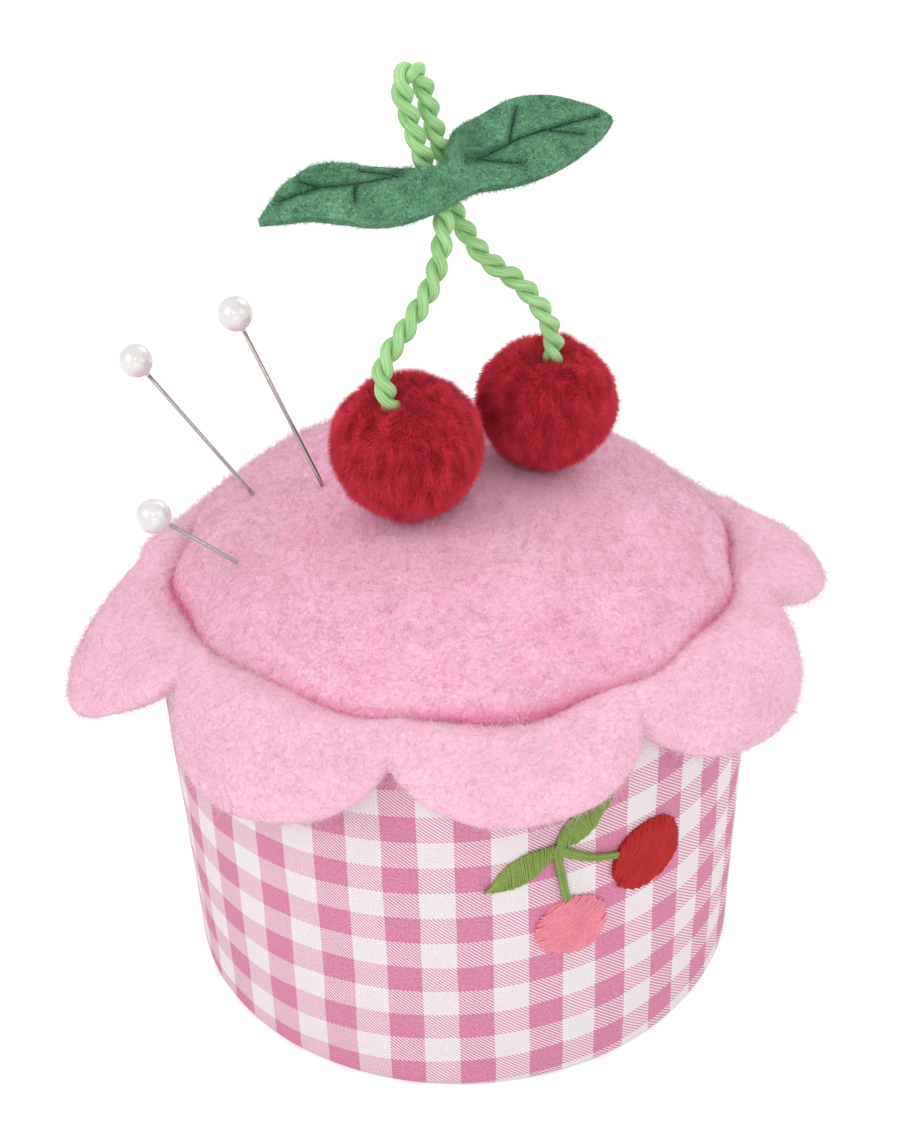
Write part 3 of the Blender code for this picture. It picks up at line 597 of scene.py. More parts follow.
def cord_finish():
    """Satin cord: fine strands that run along each ply."""
    stem = settings().stem
    paint = Finish("green_cord", Roughness=0.42, Specular_IOR_Level=0.45, Sheen_Weight=0.15)
    run = paint.node("ShaderNodeCombineXYZ", None, {2: paint.stored("along") * 90.0})
    strands_at = vector_math(paint.tree, "ADD", paint.stored("section", "Vector"), run)
    strands = paint.spots(strands_at, 0.22, 2.0)
    patches = paint.spots(paint.where(), 0.004, 2.0)
    share = (strands.swing(2.2) + patches.swing(0.6) + 0.62).within()
    paint.feed("Base Color", paint.mix(share, stem.cord_dark, stem.cord_light))
    paint.bump(strands, 0.00008, 0.6)
    return paint.material


def floss_finish(name, base):
    """Stranded embroidery thread."""
    deep = tuple(0.6 * c for c in base)
    paint = Finish(name, Roughness=0.6, Specular_IOR_Level=0.15)
    where = paint.where()
    strands = paint.spots(where, 0.0003, 3.0)
    patches = paint.spots(where, 0.002, 2.0)
    share = (strands.swing(1.4) + patches.swing(0.8) + 0.65).within()
    paint.feed("Base Color", paint.mix(share, deep, tuple(base)))
    paint.bump(strands, 0.00008, 0.5)
    return paint.material


def steel_finish():
    """Bright drawn wire with faint marks."""
    steel = settings().pin.steel
    paint = Finish("pin_steel", Metallic=1.0, Specular_IOR_Level=0.5)
    marks = paint.spots(paint.where(), 0.0009, 3.0)
    paint.feed("Base Color", paint.mix(marks * 0.6, tuple(steel), tuple(0.7 * c for c in steel)))
    paint.feed("Roughness", marks * 0.2 + 0.18)
    return paint.material


def pearl_finish():
    """Pearl lacquer: clouded white under a clear coat."""
    pearl = settings().pin.pearl
    paint = Finish(
        "pearl_lacquer", Roughness=0.3, Specular_IOR_Level=0.7, Coat_Weight=1.0, Coat_Roughness=0.03,
        Coat_IOR=1.7,
    )
    clouds = paint.spots(paint.where(), 0.0016, 2.0)
    paint.feed("Base Color", paint.mix(clouds, tuple(0.8 * c for c in pearl), tuple(pearl)))
    return paint.material


def inner_finish(name, base, size):
    """Plain pieces inside: card or loose fibre."""
    paint = Finish(name, Roughness=0.95)
    grain = paint.spots(paint.where(), size, 4.0)
    paint.feed("Base Color", paint.mix(grain, tuple(0.8 * c for c in base), base))
    paint.bump(grain, 0.3 * size, 0.4)
    return paint.material


def new_object(name, data):
    """Links mesh data as an object."""
    item = bpy.data.objects.new(name, data)
    bpy.context.scene.collection.objects.link(item)
    return item


def loft(name, rings, material, closed=True, looped=False, capped=False):
    """Mesh through rings of points, each with as many points as the last."""
    count = len(rings[0])
    points = [point for ring in rings for point in ring]
    faces = []
    for row in range(len(rings) if looped else len(rings) - 1):
        here = row * count
        there = (row + 1) % len(rings) * count
        for k in range(count if closed else count - 1):
            n = (k + 1) % count
            faces.append((here + k, here + n, there + n, there + k))
    if capped:
        for first in (0, (len(rings) - 1) * count):
            points.append(sum(points[first:first + count], Vector()) / count)
            faces += [(len(points) - 1, first + k, first + (k + 1) % count) for k in range(count)]
    data = bpy.data.meshes.new(name)
    data.from_pydata(points, [], faces)
    shape = bmesh.new()
    shape.from_mesh(data)
    bmesh.ops.recalc_face_normals(shape, faces=shape.faces)
    shape.to_mesh(data)
    shape.free()
    data.shade_smooth()
    data.materials.append(material)
    return new_object(name, data)


def mark_depth(item, measure):
    """Stores on each point of a mesh how deep it lies in a crease, from 0 to 1, as the depth attribute
    that the felt finishes turn into painted shade.
    """
    layer = item.data.attributes.new("depth", "FLOAT", "POINT")
    for vertex in item.data.vertices:
        layer.data[vertex.index].value = measure(vertex)


def settle(item):
    """Turns an object with modifiers into a plain mesh."""
    view = bpy.context.evaluated_depsgraph_get()
    data = bpy.data.meshes.new_from_object(item.evaluated_get(view))
    item.modifiers.clear()
    item.data = data
    return item


def merge(name, items):
    """One object from several with the same material."""
    shape = bmesh.new()
    for item in items:
        shape.from_mesh(item.data)
    data = bpy.data.meshes.new(name)
    shape.to_mesh(data)
    shape.free()
    data.materials.append(items[0].data.materials[0])
    for item in items:
        bpy.data.objects.remove(item, do_unlink=True)
    return new_object(name, data)


def dress(item, body, slot, *nodes):
    """Ties a finished piece to its body and hides the solids it stands for. The slot is not used."""
    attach(item, body)
    if nodes:
        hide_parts(*nodes)
    return item


def round_point(angle, radius, height):
    """A point at an angle round the drum, from the front towards +X."""
    return Vector((radius * math.sin(angle), -radius * math.cos(angle), height))


def ease(value, low, high):
    """A smooth step from 0 at low to 1 at high."""
    share = min(max((value - low) / (high - low), 0.0), 1.0)
    return share * share * (3 - 2 * share)


def lumps(point, sizes):
    """Soft unevenness at a point, in metres."""
    return sum(depth * noise.noise(point / size) for size, depth in sizes)


def full_turn(count):
    """Angles evenly spread round a circle."""
    return [2 * math.pi * k / count for k in range(count)]


def circle(radius, height, sides):
    """Points round the Z axis."""
    return [Vector((radius * math.cos(t), radius * math.sin(t), height)) for t in full_turn(sides)]


def spline(a, b, c, d, t):
    """A place on the smooth curve from b to c, between its neighbours a and d."""
    return 0.5 * (
        2 * b + (c - a) * t + (2 * a - 5 * b + 4 * c - d) * t ** 2 + (3 * b - a - 3 * c + d) * t ** 3
    )


def smooth_route(points, step):
    """Points about a step apart on a smooth curve through the given ones."""
    ends = [2 * points[0] - points[1], *points, 2 * points[-1] - points[-2]]
    route = []
    for a, b, c, d in zip(ends, ends[1:], ends[2:], ends[3:]):
        pieces = max(1, round((c - b).length / step))
        route += [spline(a, b, c, d, k / pieces) for k in range(pieces)]
    return route + [points[-1]]


def new_tree(name, inputs):
    """An empty geometry tree with named inputs, and the wires of those inputs."""
    tree = bpy.data.node_groups.new(name, "GeometryNodeTree")
    tree.interface.new_socket("Geometry", in_out="OUTPUT", socket_type="NodeSocketGeometry")
    for label, kind in {"Geometry": "Geometry", **inputs, "Material": "Material"}.items():
        tree.interface.new_socket(label, in_out="INPUT", socket_type=f"NodeSocket{kind}")
    source = tree.nodes.new("NodeGroupInput")
    return tree, {socket.name: Wire(tree, socket) for socket in source.outputs if socket.name}


def end_tree(tree, geometry, material):
    """Closes a tree: real geometry, smooth, with its material."""
    real = add_node(tree, "GeometryNodeRealizeInstances", None, {"Geometry": geometry})
    smooth = add_node(tree, "GeometryNodeSetShadeSmooth", None, {"Geometry": real})
    painted = add_node(
        tree, "GeometryNodeSetMaterial", None, {"Geometry": smooth, "Material": material}
    )
    sink = tree.nodes.new("NodeGroupOutput")
    tree.links.new(painted.socket, sink.inputs["Geometry"])
    return tree


def run_tree(tree, name, source, values):
    """The mesh that a tree makes from an object, as an object of its own."""
    step = source.modifiers.new(tree.name, "NODES")
    step.node_group = tree
    for item in tree.interface.items_tree:
        if item.in_out == "INPUT" and item.name in values:
            step[item.identifier] = values[item.name]
    view = bpy.context.evaluated_depsgraph_get()
    data = bpy.data.meshes.new_from_object(source.evaluated_get(view))
    source.modifiers.remove(step)
    return new_object(name, data)


def vector_sum(tree, parts):
    """Sum of vectors, each times a number or a wire."""
    total = None
    for vector, share in parts:
        scaled = vector_math(tree, "SCALE", vector, share)
        total = scaled if total is None else vector_math(tree, "ADD", total, scaled)
    return total


def store(tree, geometry, name, value, kind="FLOAT"):
    """Keeps a value on the points of a geometry, under a name."""
    return add_node(
        tree, "GeometryNodeStoreNamedAttribute", {"data_type": kind, "domain": "POINT"},
        {"Geometry": geometry, "Name": name, "Value": value},
    )


def ring_curve(tree, sides, radius):
    """The round section of a strand."""
    return add_node(
        tree, "GeometryNodeCurvePrimitiveCircle", None, {"Resolution": sides, "Radius": radius}
    )


def tube(tree, line, ring):
    """A section drawn along a line, with closed ends."""
    return add_node(
        tree, "GeometryNodeCurveToMesh", None, {"Curve": line, "Profile Curve": ring, "Fill Caps": True}
    )


def pile_tree():
    """Short tapered fibres scattered over a surface."""
    tree, given = new_tree("pile", {
        "Density": "Float", "Length": "Float", "Thickness": "Float", "Stand": "Float",
        "Comb": "Float", "Stray": "Float", "Clump": "Float", "Fall": "Float", "Seed": "Int",
    })
    points = add_node(
        tree, "GeometryNodeDistributePointsOnFaces", {"distribute_method": "RANDOM"},
        {"Mesh": given["Geometry"], "Density": given["Density"], "Seed": given["Seed"]}, "Points",
    )
    position = add_node(tree, "GeometryNodeInputPosition")
    comb = add_node(
        tree, "ShaderNodeTexNoise", None,
        {"Vector": position, "Scale": 1 / given["Clump"], "Detail": 1.0}, "Color",
    )
    comb = vector_math(tree, "SUBTRACT", comb, (0.5, 0.5, 0.5))
    stray = add_node(
        tree, "FunctionNodeRandomValue", {"data_type": "FLOAT_VECTOR"},
        {0: (-1.0, -1.0, -1.0), 1: (1.0, 1.0, 1.0), "Seed": given["Seed"]},
    )
    towards = vector_sum(tree, [
        (points.other("Normal"), given["Stand"]), (comb, given["Comb"]), (stray, given["Stray"]),
        ((0.0, 0.0, -1.0), given["Fall"]),
    ])
    facing = add_node(tree, "FunctionNodeAlignRotationToVector", {"axis": "Z"}, {"Vector": towards})
    fibre = add_node(
        tree, "GeometryNodeMeshCone", {"fill_type": "NONE"},
        {
            "Vertices": 3, "Radius Top": 0.0, "Radius Bottom": given["Thickness"],
            "Depth": given["Length"],
        },
    )
    rise = add_node(tree, "ShaderNodeSeparateXYZ", None, {0: position}, "Z")
    fibre = store(tree, fibre, "tip", rise / given["Length"])
    tall = add_node(
        tree, "FunctionNodeRandomValue", {"data_type": "FLOAT"},
        {2: 0.5, 3: 1.15, "Seed": given["Seed"]}, 1,
    )
    size = add_node(tree, "ShaderNodeCombineXYZ", None, {0: 1.0, 1: 1.0, 2: tall})
    fibres = add_node(
        tree, "GeometryNodeInstanceOnPoints", None,
        {"Points": points, "Instance": fibre, "Rotation": facing, "Scale": size},
    )
    return end_tree(tree, fibres, given["Material"])


def strand_tree():
    """Round strands along lines."""
    tree, given = new_tree("strands", {"Radius": "Float", "Sides": "Int"})
    line = add_node(tree, "GeometryNodeMeshToCurve", None, {"Mesh": given["Geometry"]})
    strands = tube(tree, line, ring_curve(tree, given["Sides"], given["Radius"]))
    return end_tree(tree, strands, given["Material"])


def cord_tree():
    """Two plies wound round a line."""
    tree, given = new_tree("twisted_cord", {
        "Ply radius": "Float", "Ply offset": "Float", "Pitch": "Float", "Step": "Float",
    })
    line = add_node(tree, "GeometryNodeMeshToCurve", None, {"Mesh": given["Geometry"]})
    line = add_node(
        tree, "GeometryNodeResampleCurve", {"mode": "LENGTH"},
        {"Curve": line, "Length": given["Step"]},
    )
    line = add_node(tree, "GeometryNodeSetCurveNormal", {"mode": "MINIMUM_TWIST"}, {"Curve": line})
    along = add_node(tree, "GeometryNodeSplineParameter", None, None, "Length")
    normal = add_node(tree, "GeometryNodeInputNormal")
    tangent = add_node(tree, "GeometryNodeInputTangent")
    side = vector_math(tree, "CROSS_PRODUCT", tangent, normal)
    position = add_node(tree, "GeometryNodeInputPosition")
    section = vector_math(tree, "SCALE", position, 1 / given["Ply radius"])
    ring = ring_curve(tree, 14, given["Ply radius"])
    ring = store(tree, ring, "section", section, "FLOAT_VECTOR")
    join = tree.nodes.new("GeometryNodeJoinGeometry")
    for start in (0.0, math.pi):
        angle = along / given["Pitch"] * (-2 * math.pi) + start
        offset = vector_sum(tree, [
            (normal, angle.cosine() * given["Ply offset"]), (side, angle.sine() * given["Ply offset"]),
        ])
        ply = add_node(tree, "GeometryNodeSetPosition", None, {"Geometry": line, "Offset": offset})
        ply = tube(tree, store(tree, ply, "along", along), ring)
        tree.links.new(ply.socket, join.inputs["Geometry"])
    return end_tree(tree, Wire(tree, join.outputs["Geometry"]), given["Material"])


def lines_object(lines):
    """A mesh of bare lines for a tree to work on."""
    points, edges = [], []
    for line in lines:
        first = len(points)
        points += line
        edges += [(first + k, first + k + 1) for k in range(len(line) - 1)]
    data = bpy.data.meshes.new("lines")
    data.from_pydata(points, edges, [])
    return new_object("lines", data)


def make_strands(name, lines, radius, material, sides=6):
    """Strands along lines, as a plain mesh."""
    guide = lines_object(lines)
    tree = bpy.data.node_groups.get("strands") or strand_tree()
    item = run_tree(tree, name, guide, {"Radius": radius, "Sides": sides, "Material": material})
    bpy.data.objects.remove(guide, do_unlink=True)
    return item


def make_pile(name, source, material, **values):
    """Fibres over a piece, as a plain mesh."""
    tree = bpy.data.node_groups.get("pile") or pile_tree()
    return run_tree(tree, name, source, {"Material": material, **values})


def wall_radius(height):
    """Outside radius of the drum at a height."""
    drum = settings().drum
    return drum.base_radius + drum.taper * height


def front_lift(angle):
    """How far the rim and the soft top rise, most at the front."""
    return settings().drum.front_lift * ((1 + math.cos(angle)) / 2) ** 2


def arc(steps):
    """Shares (sine, 1 - cosine) of a quarter round."""
    turns = [math.pi / 2 * k / steps for k in range(steps + 1)]
    return [(math.sin(t), 1 - math.cos(t)) for t in turns]


def sleeve_profile(rim):
    """The cloth's line from inside the rim over it, down the wall and in under the base, as
    (inset, height, length along the cloth)."""
    drum = settings().drum
    fold, foot, width = drum.rim_fold, drum.base_fold, drum.rim_width
    line = [(width, rim - drum.hem_depth)]
    line += [(width - fold * b, rim - fold + fold * a) for a, b in arc(4)]
    line += [(fold - fold * a, rim - fold * b) for a, b in arc(4)]
    rows = 44
    top, low = rim - fold, foot
    line += [(0.0, top + (low - top) * k / rows) for k in range(1, rows)]
    line += [(foot * b, foot - foot * a) for a, b in arc(5)]
    line += [(foot + (drum.hem_width - foot) * k / 4, 0.0) for k in range(1, 5)]
    reached = 0.0
    profile = []
    for before, here in zip([line[0], *line], line):
        reached += math.hypot(here[0] - before[0], here[1] - before[1])
        profile.append((*here, reached))
    start = next(p for p in profile if p[0] == 0.0)
    return [(inset, height, start[1] + start[2] - run) for inset, height, run in profile]


def make_sleeve():
    """Gingham round the drum, lapped at the back and turned over both ends."""
    drum = settings().drum
    columns = 256
    first, last = -math.pi, math.pi + drum.lap
    rings, map_places = [], []
    for k in range(columns + 1):
        angle = first + (last - first) * k / columns
        lapped = ease(angle, math.pi - drum.lap, math.pi - 0.2 * drum.lap) * 1.4 * drum.cloth
        ring = []
        for inset, height, run in sleeve_profile(drum.rim_height + front_lift(angle)):
            on_base = ease(height, 0.0, drum.base_fold)
            point = round_point(angle, wall_radius(height) - inset + lapped * on_base, height)
            slack = lumps(point, CLOTH_LUMPS)
            ring.append(point + round_point(angle, slack * on_base, 0.0))
            across = angle * wall_radius(height) / drum.check_width + drum.check_start
            up = (run - drum.slant * math.sin(angle)) / drum.check_height + drum.check_foot
            map_places.append((across, up))
        rings.append(ring)
    sleeve = loft("gingham_cover", rings, gingham_finish(), closed=False)
    layer = sleeve.data.uv_layers.new(name="cloth")
    for loop in sleeve.data.loops:
        layer.data[loop.index].uv = map_places[loop.vertex_index]
    thick = sleeve.modifiers.new("cloth", "SOLIDIFY")
    thick.thickness = drum.cloth
    thick.offset = -1
    settle(sleeve)
    dress(sleeve, BODY, "gingham", "gingham_sleeve")
    around = 2 * math.pi * wall_radius(drum.rim_height) + drum.lap * drum.base_radius


def make_base():
    """Felt disc on the underside, with a rolled edge."""
    low, high = BOXES["base_felt_disc"]
    radius, thickness = (high.x - low.x) / 2, high.z - low.z
    rings = []
    for share, rise in BASE_LINE:
        height = low.z + rise * thickness
        rings.append([round_point(a, share * radius, height) for a in full_turn(96)])
    top = settings().top
    felt = felt_finish("base_felt", top.felt_dark, top.felt_light, top.deep)
    disc = loft("base_disc", rings, felt, capped=True)
    dress(disc, BODY, "pink_felt", "base_felt_disc")


def gap_at(corners, angle):
    """Which gap between corners an angle lies in, the share of the way across it and its degrees."""
    degrees = (math.degrees(angle) - corners[0]) % 360 + corners[0]
    ends = [*corners[1:], corners[0] + 360]
    for index, (low, high) in enumerate(zip(corners, ends)):
        if low <= degrees <= high:
            return index, (degrees - low) / (high - low), high - low
    raise ValueError("no gap at this angle")


def behind(angle):
    """1 at the back of the drum, 0 at its front and sides."""
    return ease(-math.cos(angle), math.cos(math.radians(80)), math.cos(math.radians(64)))


def seam_pull(angle):
    """Share by which the seam lies inside its circle: none at a corner, most between two."""
    _, share, wide = gap_at(SEAM_CORNERS, angle)
    most = min(1 - math.cos(math.radians(wide) / 2), SEAM_DRAW - SEAM_DRAW_LESS * behind(angle))
    return most * (share * (1 - share) + 0.75 * math.sin(math.pi * share) ** 2)


def seam_rise(angle):
    """How far the seam rides up the dome."""
    degrees = (math.degrees(angle) + 180) % 360 - 180
    return sum(rise * math.exp(-((degrees - at) / wide) ** 2) for at, wide, rise in SEAM_RISES)


def dome_radius():
    """Radius of the circle that the seam lies on."""
    low, high = BOXES["felt_dome"]
    return (high.x - low.x) / 2


def dome_top():
    """Height of the top of the dome."""
    top = settings().top
    return top.seam_height + top.dome_rise + top.swell


def dome_point(share, angle):
    """The dome's felt at a share of its radius, as (radius, height)."""
    top = settings().top
    pull = seam_pull(angle) * ease(share, 0.45, 1.0)
    height = top.seam_height + front_lift(angle) * share + seam_rise(angle) * share ** 6
    height += top.dome_rise * (1 - share ** 2) ** top.dome_fullness
    return Vector((dome_radius() * share * (1 - pull), height))


def dome_edge(angle, slope):
    """The dome's rolled edge where it falls at a slope, as (radius, height)."""
    top = settings().top
    start = dome_point(top.roll_from, angle)
    along = start - dome_point(top.roll_from - 0.01, angle)
    first = math.atan2(-along.y, along.x)
    out = top.dome_roll * (math.sin(slope) - math.sin(first))
    return start + Vector((out, top.dome_roll * (math.cos(slope) - math.cos(first))))


def pin_line(name):
    """The middle of a pin's head and the direction of the pin, out of the felt."""
    low, high = BOXES[f"{name}_head"]
    joint = next(j for j in frame["joints"] if j["child"] == name)
    return (low + high) / 2, Vector(joint["axis"]).normalized()


def cherry_ball(name):
    """The middle and the radius of a cherry."""
    low, high = BOXES[f"cherry_{name}_cover"]
    radius = (high.x - low.x) / 2
    return Vector(((low.x + high.x) / 2, (low.y + high.y) / 2, low.z + radius)), radius


def dents(point):
    """How far pins and cherries press into the felt at a point."""
    depth = 0.0
    for name in PIN_NAMES:
        head, axis = pin_line(name)
        off = (point - head) - axis * (point - head).dot(axis)
        depth += PIN_DENT * math.exp(-(off.length / PIN_DENT_WIDTH) ** 2)
    for name in ("front", "rear"):
        middle, radius = cherry_ball(name)
        off = math.hypot(point.x - middle.x, point.y - middle.y)
        depth += CHERRY_DENT * math.exp(-(off / (CHERRY_DENT_SHARE * radius)) ** 2)
    return depth


def brush_felt(name, surface, shade, seed):
    """Covers a felt surface with a short nap and with sparse longer hairs, then removes it."""
    top = settings().top
    short = nap_finish(f"{name}_nap_fibres", shade, top.fuzz, top.deep)
    loose = nap_finish(f"{name}_fuzz_fibres", shade, top.hair, top.deep)
    nap = make_pile(f"{name}_nap", surface, short, Length=top.nap, Seed=seed, **FELT_NAP)
    fuzz = make_pile(
        f"{name}_fuzz", surface, loose, Length=top.fuzz_length, Seed=seed + 10, **FELT_FUZZ
    )
    bpy.data.objects.remove(surface, do_unlink=True)
    for item in (nap, fuzz):
        dress(item, BODY, "pink_felt")


def swell_felt(rings, sewn_row):
    """Lets the stuffing push the felt out from inside, as cloth that is held from a row on."""
    skip_rows, skip_sides, scale, last_frame = 3, 4, 20.0, 20
    coarse = [[p * scale for p in ring[::skip_sides]] for ring in rings[::skip_rows]]
    count = len(coarse[0])
    sheet = loft("sheet", coarse, bpy.data.materials.new("sheet"))
    sewn = sheet.vertex_groups.new(name="sewn")
    sewn.add(range(sewn_row // skip_rows * count, len(coarse) * count), 1.0, "REPLACE")
    cloth = sheet.modifiers.new("cloth", "CLOTH")
    cloth.settings.use_pressure = True
    cloth.settings.uniform_pressure_force = 4.0
    cloth.settings.vertex_group_mass = "sewn"
    cloth.settings.effector_weights.gravity = 0.0
    cloth.point_cache.frame_start = 1
    cloth.point_cache.frame_end = last_frame
    scene = bpy.context.scene
    for frame_number in range(1, last_frame + 1):
        scene.frame_set(frame_number)
    after = sheet.evaluated_get(bpy.context.evaluated_depsgraph_get()).data.vertices
    most = settings().top.swell
    moves = []
    for row, ring in enumerate(coarse):
        line = [(after[row * count + k].co - p) / scale for k, p in enumerate(ring)]
        moves.append([m * min(1.0, most / max(m.length, 1e-9)) for m in line])
    scene.frame_set(1)
    bpy.data.objects.remove(sheet, do_unlink=True)
    for row in range(sewn_row):
        low, down = divmod(row, skip_rows)
        for k, point in enumerate(rings[row]):
            left, over = divmod(k, skip_sides)
            near = moves[low][left].lerp(moves[low][(left + 1) % count], over / skip_sides)
            far = moves[low + 1][left].lerp(moves[low + 1][(left + 1) % count], over / skip_sides)
            rings[row][k] = point + near.lerp(far, down / skip_rows)


def make_dome():
    """Felt drawn over the stuffing, rolled into the crease and tucked down."""
    top = settings().top
    sides, rows, tuck_rows, tuck_drop, hidden_rows = 240, 48, 2, 0.003, 5
    angles = full_turn(sides)
    rings = []
    for k in range(1, rows + 1):
        share = top.roll_from * math.sin(math.pi / 2 * k / rows) ** 0.9
        ring = []
        for angle in angles:
            point = round_point(angle, *dome_point(share, angle))
            rise = lumps(point, DOME_LUMPS) - dents(point)
            ring.append(point + Vector((0, 0, rise * (1 - share ** 6))))
        rings.append(ring)
    for degrees in ROLL_SLOPES:
        rings.append([round_point(a, *dome_edge(a, math.radians(degrees))) for a in angles])
    swell_felt(rings, rows - 1)
    shown = len(rings) - hidden_rows
    for _ in range(tuck_rows):
        rings.append([p - Vector((0, 0, tuck_drop)) for p in rings[-1]])
    felt = felt_finish("dome_felt", top.felt_dark, top.felt_light, top.deep)
    dome = loft("dome_cover", rings, felt, capped=True)
    surface = loft("dome_surface", rings[:shown], felt)
    # Painted shade: from these rows on, the rolled edge into the crease takes the crease shade colour
    starts = [rows + 1 + 3.0 * behind(angle) for angle in angles]

    def buried(vertex):
        """How deep a point lies, from the row where the crease starts on."""
        row, side = divmod(vertex.index, sides)
        return ease(row, starts[side], starts[side] + 2.5)

    for item in (dome, surface):
        mark_depth(item, buried)
    dress(dome, BODY, "pink_felt", "felt_dome")
    brush_felt("dome", surface, top.felt_dark, 3)


def skirt_edge(angle):
    """Reach and height of the skirt's edge at an angle."""
    top, drum = settings().top, settings().drum
    index, share, _ = gap_at(NOTCH_ANGLES, angle)
    out = max(0.0, 1 - (2 * share - 1) ** 2) ** SCALLOP_CURVE[index]
    beyond = top.notch_reach + (SCALLOP_REACH[index] - top.notch_reach) * out
    below = top.notch_drop + (SCALLOP_DROP[index] - top.notch_drop) * out
    return wall_radius(drum.rim_height) + beyond, top.seam_height - below


def skirt_middle(angle, share, edge):
    """Middle of the skirt's felt as (radius, height), from the seam to the scalloped edge."""
    top = settings().top
    inner = dome_radius() * (1 - seam_pull(angle)) - SKIRT_TUCK
    start = top.seam_height - SKIRT_START_DROP + front_lift(angle) + seam_rise(angle)
    start -= top.back_fall * behind(angle)
    reach, height = edge
    droop = top.skirt_droop + (top.back_droop - top.skirt_droop) * behind(angle)
    return Vector((inner + (reach - inner) * share, start + (height - start) * share ** droop))


def make_skirt():
    """Plump scalloped felt, pinched at the seam and round at its edge."""
    top = settings().top
    rings = []
    for angle in full_turn(480):
        edge = skirt_edge(angle)
        thickness = top.skirt_thickness * (1 + (top.back_thickness - 1) * behind(angle))
        above, below = [], []
        for share in SKIRT_SHARES:
            middle = skirt_middle(angle, share, edge)
            ahead = skirt_middle(angle, share + 0.01, edge) - middle
            normal = Vector((-ahead.y, ahead.x)).normalized()
            past = max(0.0, share - EDGE_FROM) / (1 - EDGE_FROM)
            pinch = top.skirt_pinch + (1 - top.skirt_pinch) * ease(share, PINCH_FROM, PINCH_TO)
            half = thickness / 2 * math.sqrt(1 - past ** 2) * pinch
            above.append(middle + normal * half)
            below.append(middle - normal * half)
        section = above + [skirt_middle(angle, 1.0, edge)] + below[::-1]
        ring = []
        for radius, height in section:
            point = round_point(angle, radius, height)
            ring.append(point + Vector((0, 0, lumps(point, SKIRT_LUMPS))))
        rings.append(ring)
    # Painted sheen: the skirt's felt is the dome's felt made paler, a lit copy that stands in for the
    # sheen its lobes catch
    paler = [tuple(Vector(a).lerp(Vector(b), 0.3)) for a, b in (
        (top.felt_dark, top.felt_light), (top.felt_light, top.fuzz),
    )]
    felt = felt_finish("skirt_felt", *paler, top.deep)
    skirt = loft("skirt_cover", rings, felt, looped=True)
    shown = [ring[:len(SKIRT_SHARES) + 4] for ring in rings]
    surface = loft("skirt_surface", [*shown, shown[0]], felt, closed=False)
    # Painted shade: the rows next to the seam take the crease shade colour
    for item, row in ((skirt, len(rings[0])), (surface, len(shown[0]))):
        mark_depth(item, lambda vertex: 1 - ease(vertex.index % row, 1.0, 4.0))
    dress(skirt, BODY, "pink_felt", "scalloped_skirt")
    # Painted sheen: the skirt's nap is paler than the dome's, starting from the lighter felt colour
    brush_felt("skirt", surface, top.felt_light, 4)


def make_seam():
    """Running stitches in the crease between dome and skirt."""
    top = settings().top
    stitches = []
    random.seed(11)
    for k in range(SEAM_STITCHES):
        middle = 2 * math.pi * (k + random.uniform(-0.15, 0.15)) / SEAM_STITCHES
        half = random.uniform(0.25, 0.36) * 2 * math.pi / SEAM_STITCHES
        line = []
        for share in (-1.0, -0.5, 0.0, 0.5, 1.0):
            angle = middle + half * share
            radius, height = dome_edge(angle, top.crease + SEAM_LOWER * behind(angle))
            radius += STITCH_OUT - STITCH_DIVE * share ** 2
            line.append(round_point(angle, radius, height + 0.0001))
        stitches.append(line)
    floss = floss_finish("seam_floss", top.thread)
    seam = make_strands("seam_stitches", stitches, SEAM_THREAD, floss)
    dress(seam, BODY, "pink_thread", "seam_thread")


def dimple_way(name):
    """The direction that a cherry's dimple faces."""
    return Vector(DIMPLE_WAYS[name]).normalized()


def make_cherries():
    """Plush balls, each with a dimple for the cord and the thread that draws it shut."""
    cherry = settings().cherry
    rows, sides = 48, 72
    pile = plush_finish()
    backing = backing_finish()
    for name, seed in (("front", 21), ("rear", 22)):
        middle, radius = cherry_ball(name)
        core = radius * cherry.core_share
        placing = dimple_way(name).to_track_quat("Z", "Y")
        rings = []
        for row in range(1, rows):
            down = math.pi * row / rows
            reach = core * (1 - cherry.dimple * math.exp(-(down / cherry.dimple_turn) ** 2))
            ring = []
            for way in circle(math.sin(down), math.cos(down), sides):
                off = placing @ (way * reach)
                off.x = off.x * cherry.spread - cherry.drift
                point = middle + off
                ring.append(point + placing @ way * lumps(point, CHERRY_LUMPS))
            rings.append(ring)
        ball = loft(f"cherry_{name}", rings, backing, capped=True)
        dress(ball, BODY, "red_plush", f"cherry_{name}_cover")
        fibres = make_pile(
            f"cherry_{name}_pile", ball, pile, Length=cherry.pile, Seed=seed, **CHERRY_PILE
        )
        dress(fibres, BODY, "red_plush")
        height = core * (1 - cherry.dimple) + 0.0001
        loop = [middle + placing @ p for p in circle(GATHER_RADIUS, height, 32)]
        # The drawstring takes the backing's colour, mostly the roots' painted shade
        gather = make_strands(
            f"cherry_{name}_drawstring", [[*loop, loop[0]]], GATHER_THREAD, backing
        )
        dress(gather, BODY, "red_floss", f"cherry_{name}_gather")


def stem_point(place_on_stem):
    """A chosen point of the cord, with its height above the table."""
    return Vector(place_on_stem) + Vector((0, 0, dome_top()))


def cord_route():
    """The cord's centre line from inside the front cherry to inside the rear one."""
    ends = []
    for name in ("front", "rear"):
        middle, radius = cherry_ball(name)
        ends.append([middle + dimple_way(name) * radius * share for share in (0.5, 0.75, 1.0)])
    front, rear = ends
    between = [stem_point(p) for p in LEFT_LEG + LOOP + RIGHT_LEG]
    return smooth_route(front + between + rear[::-1], ROUTE_STEP)


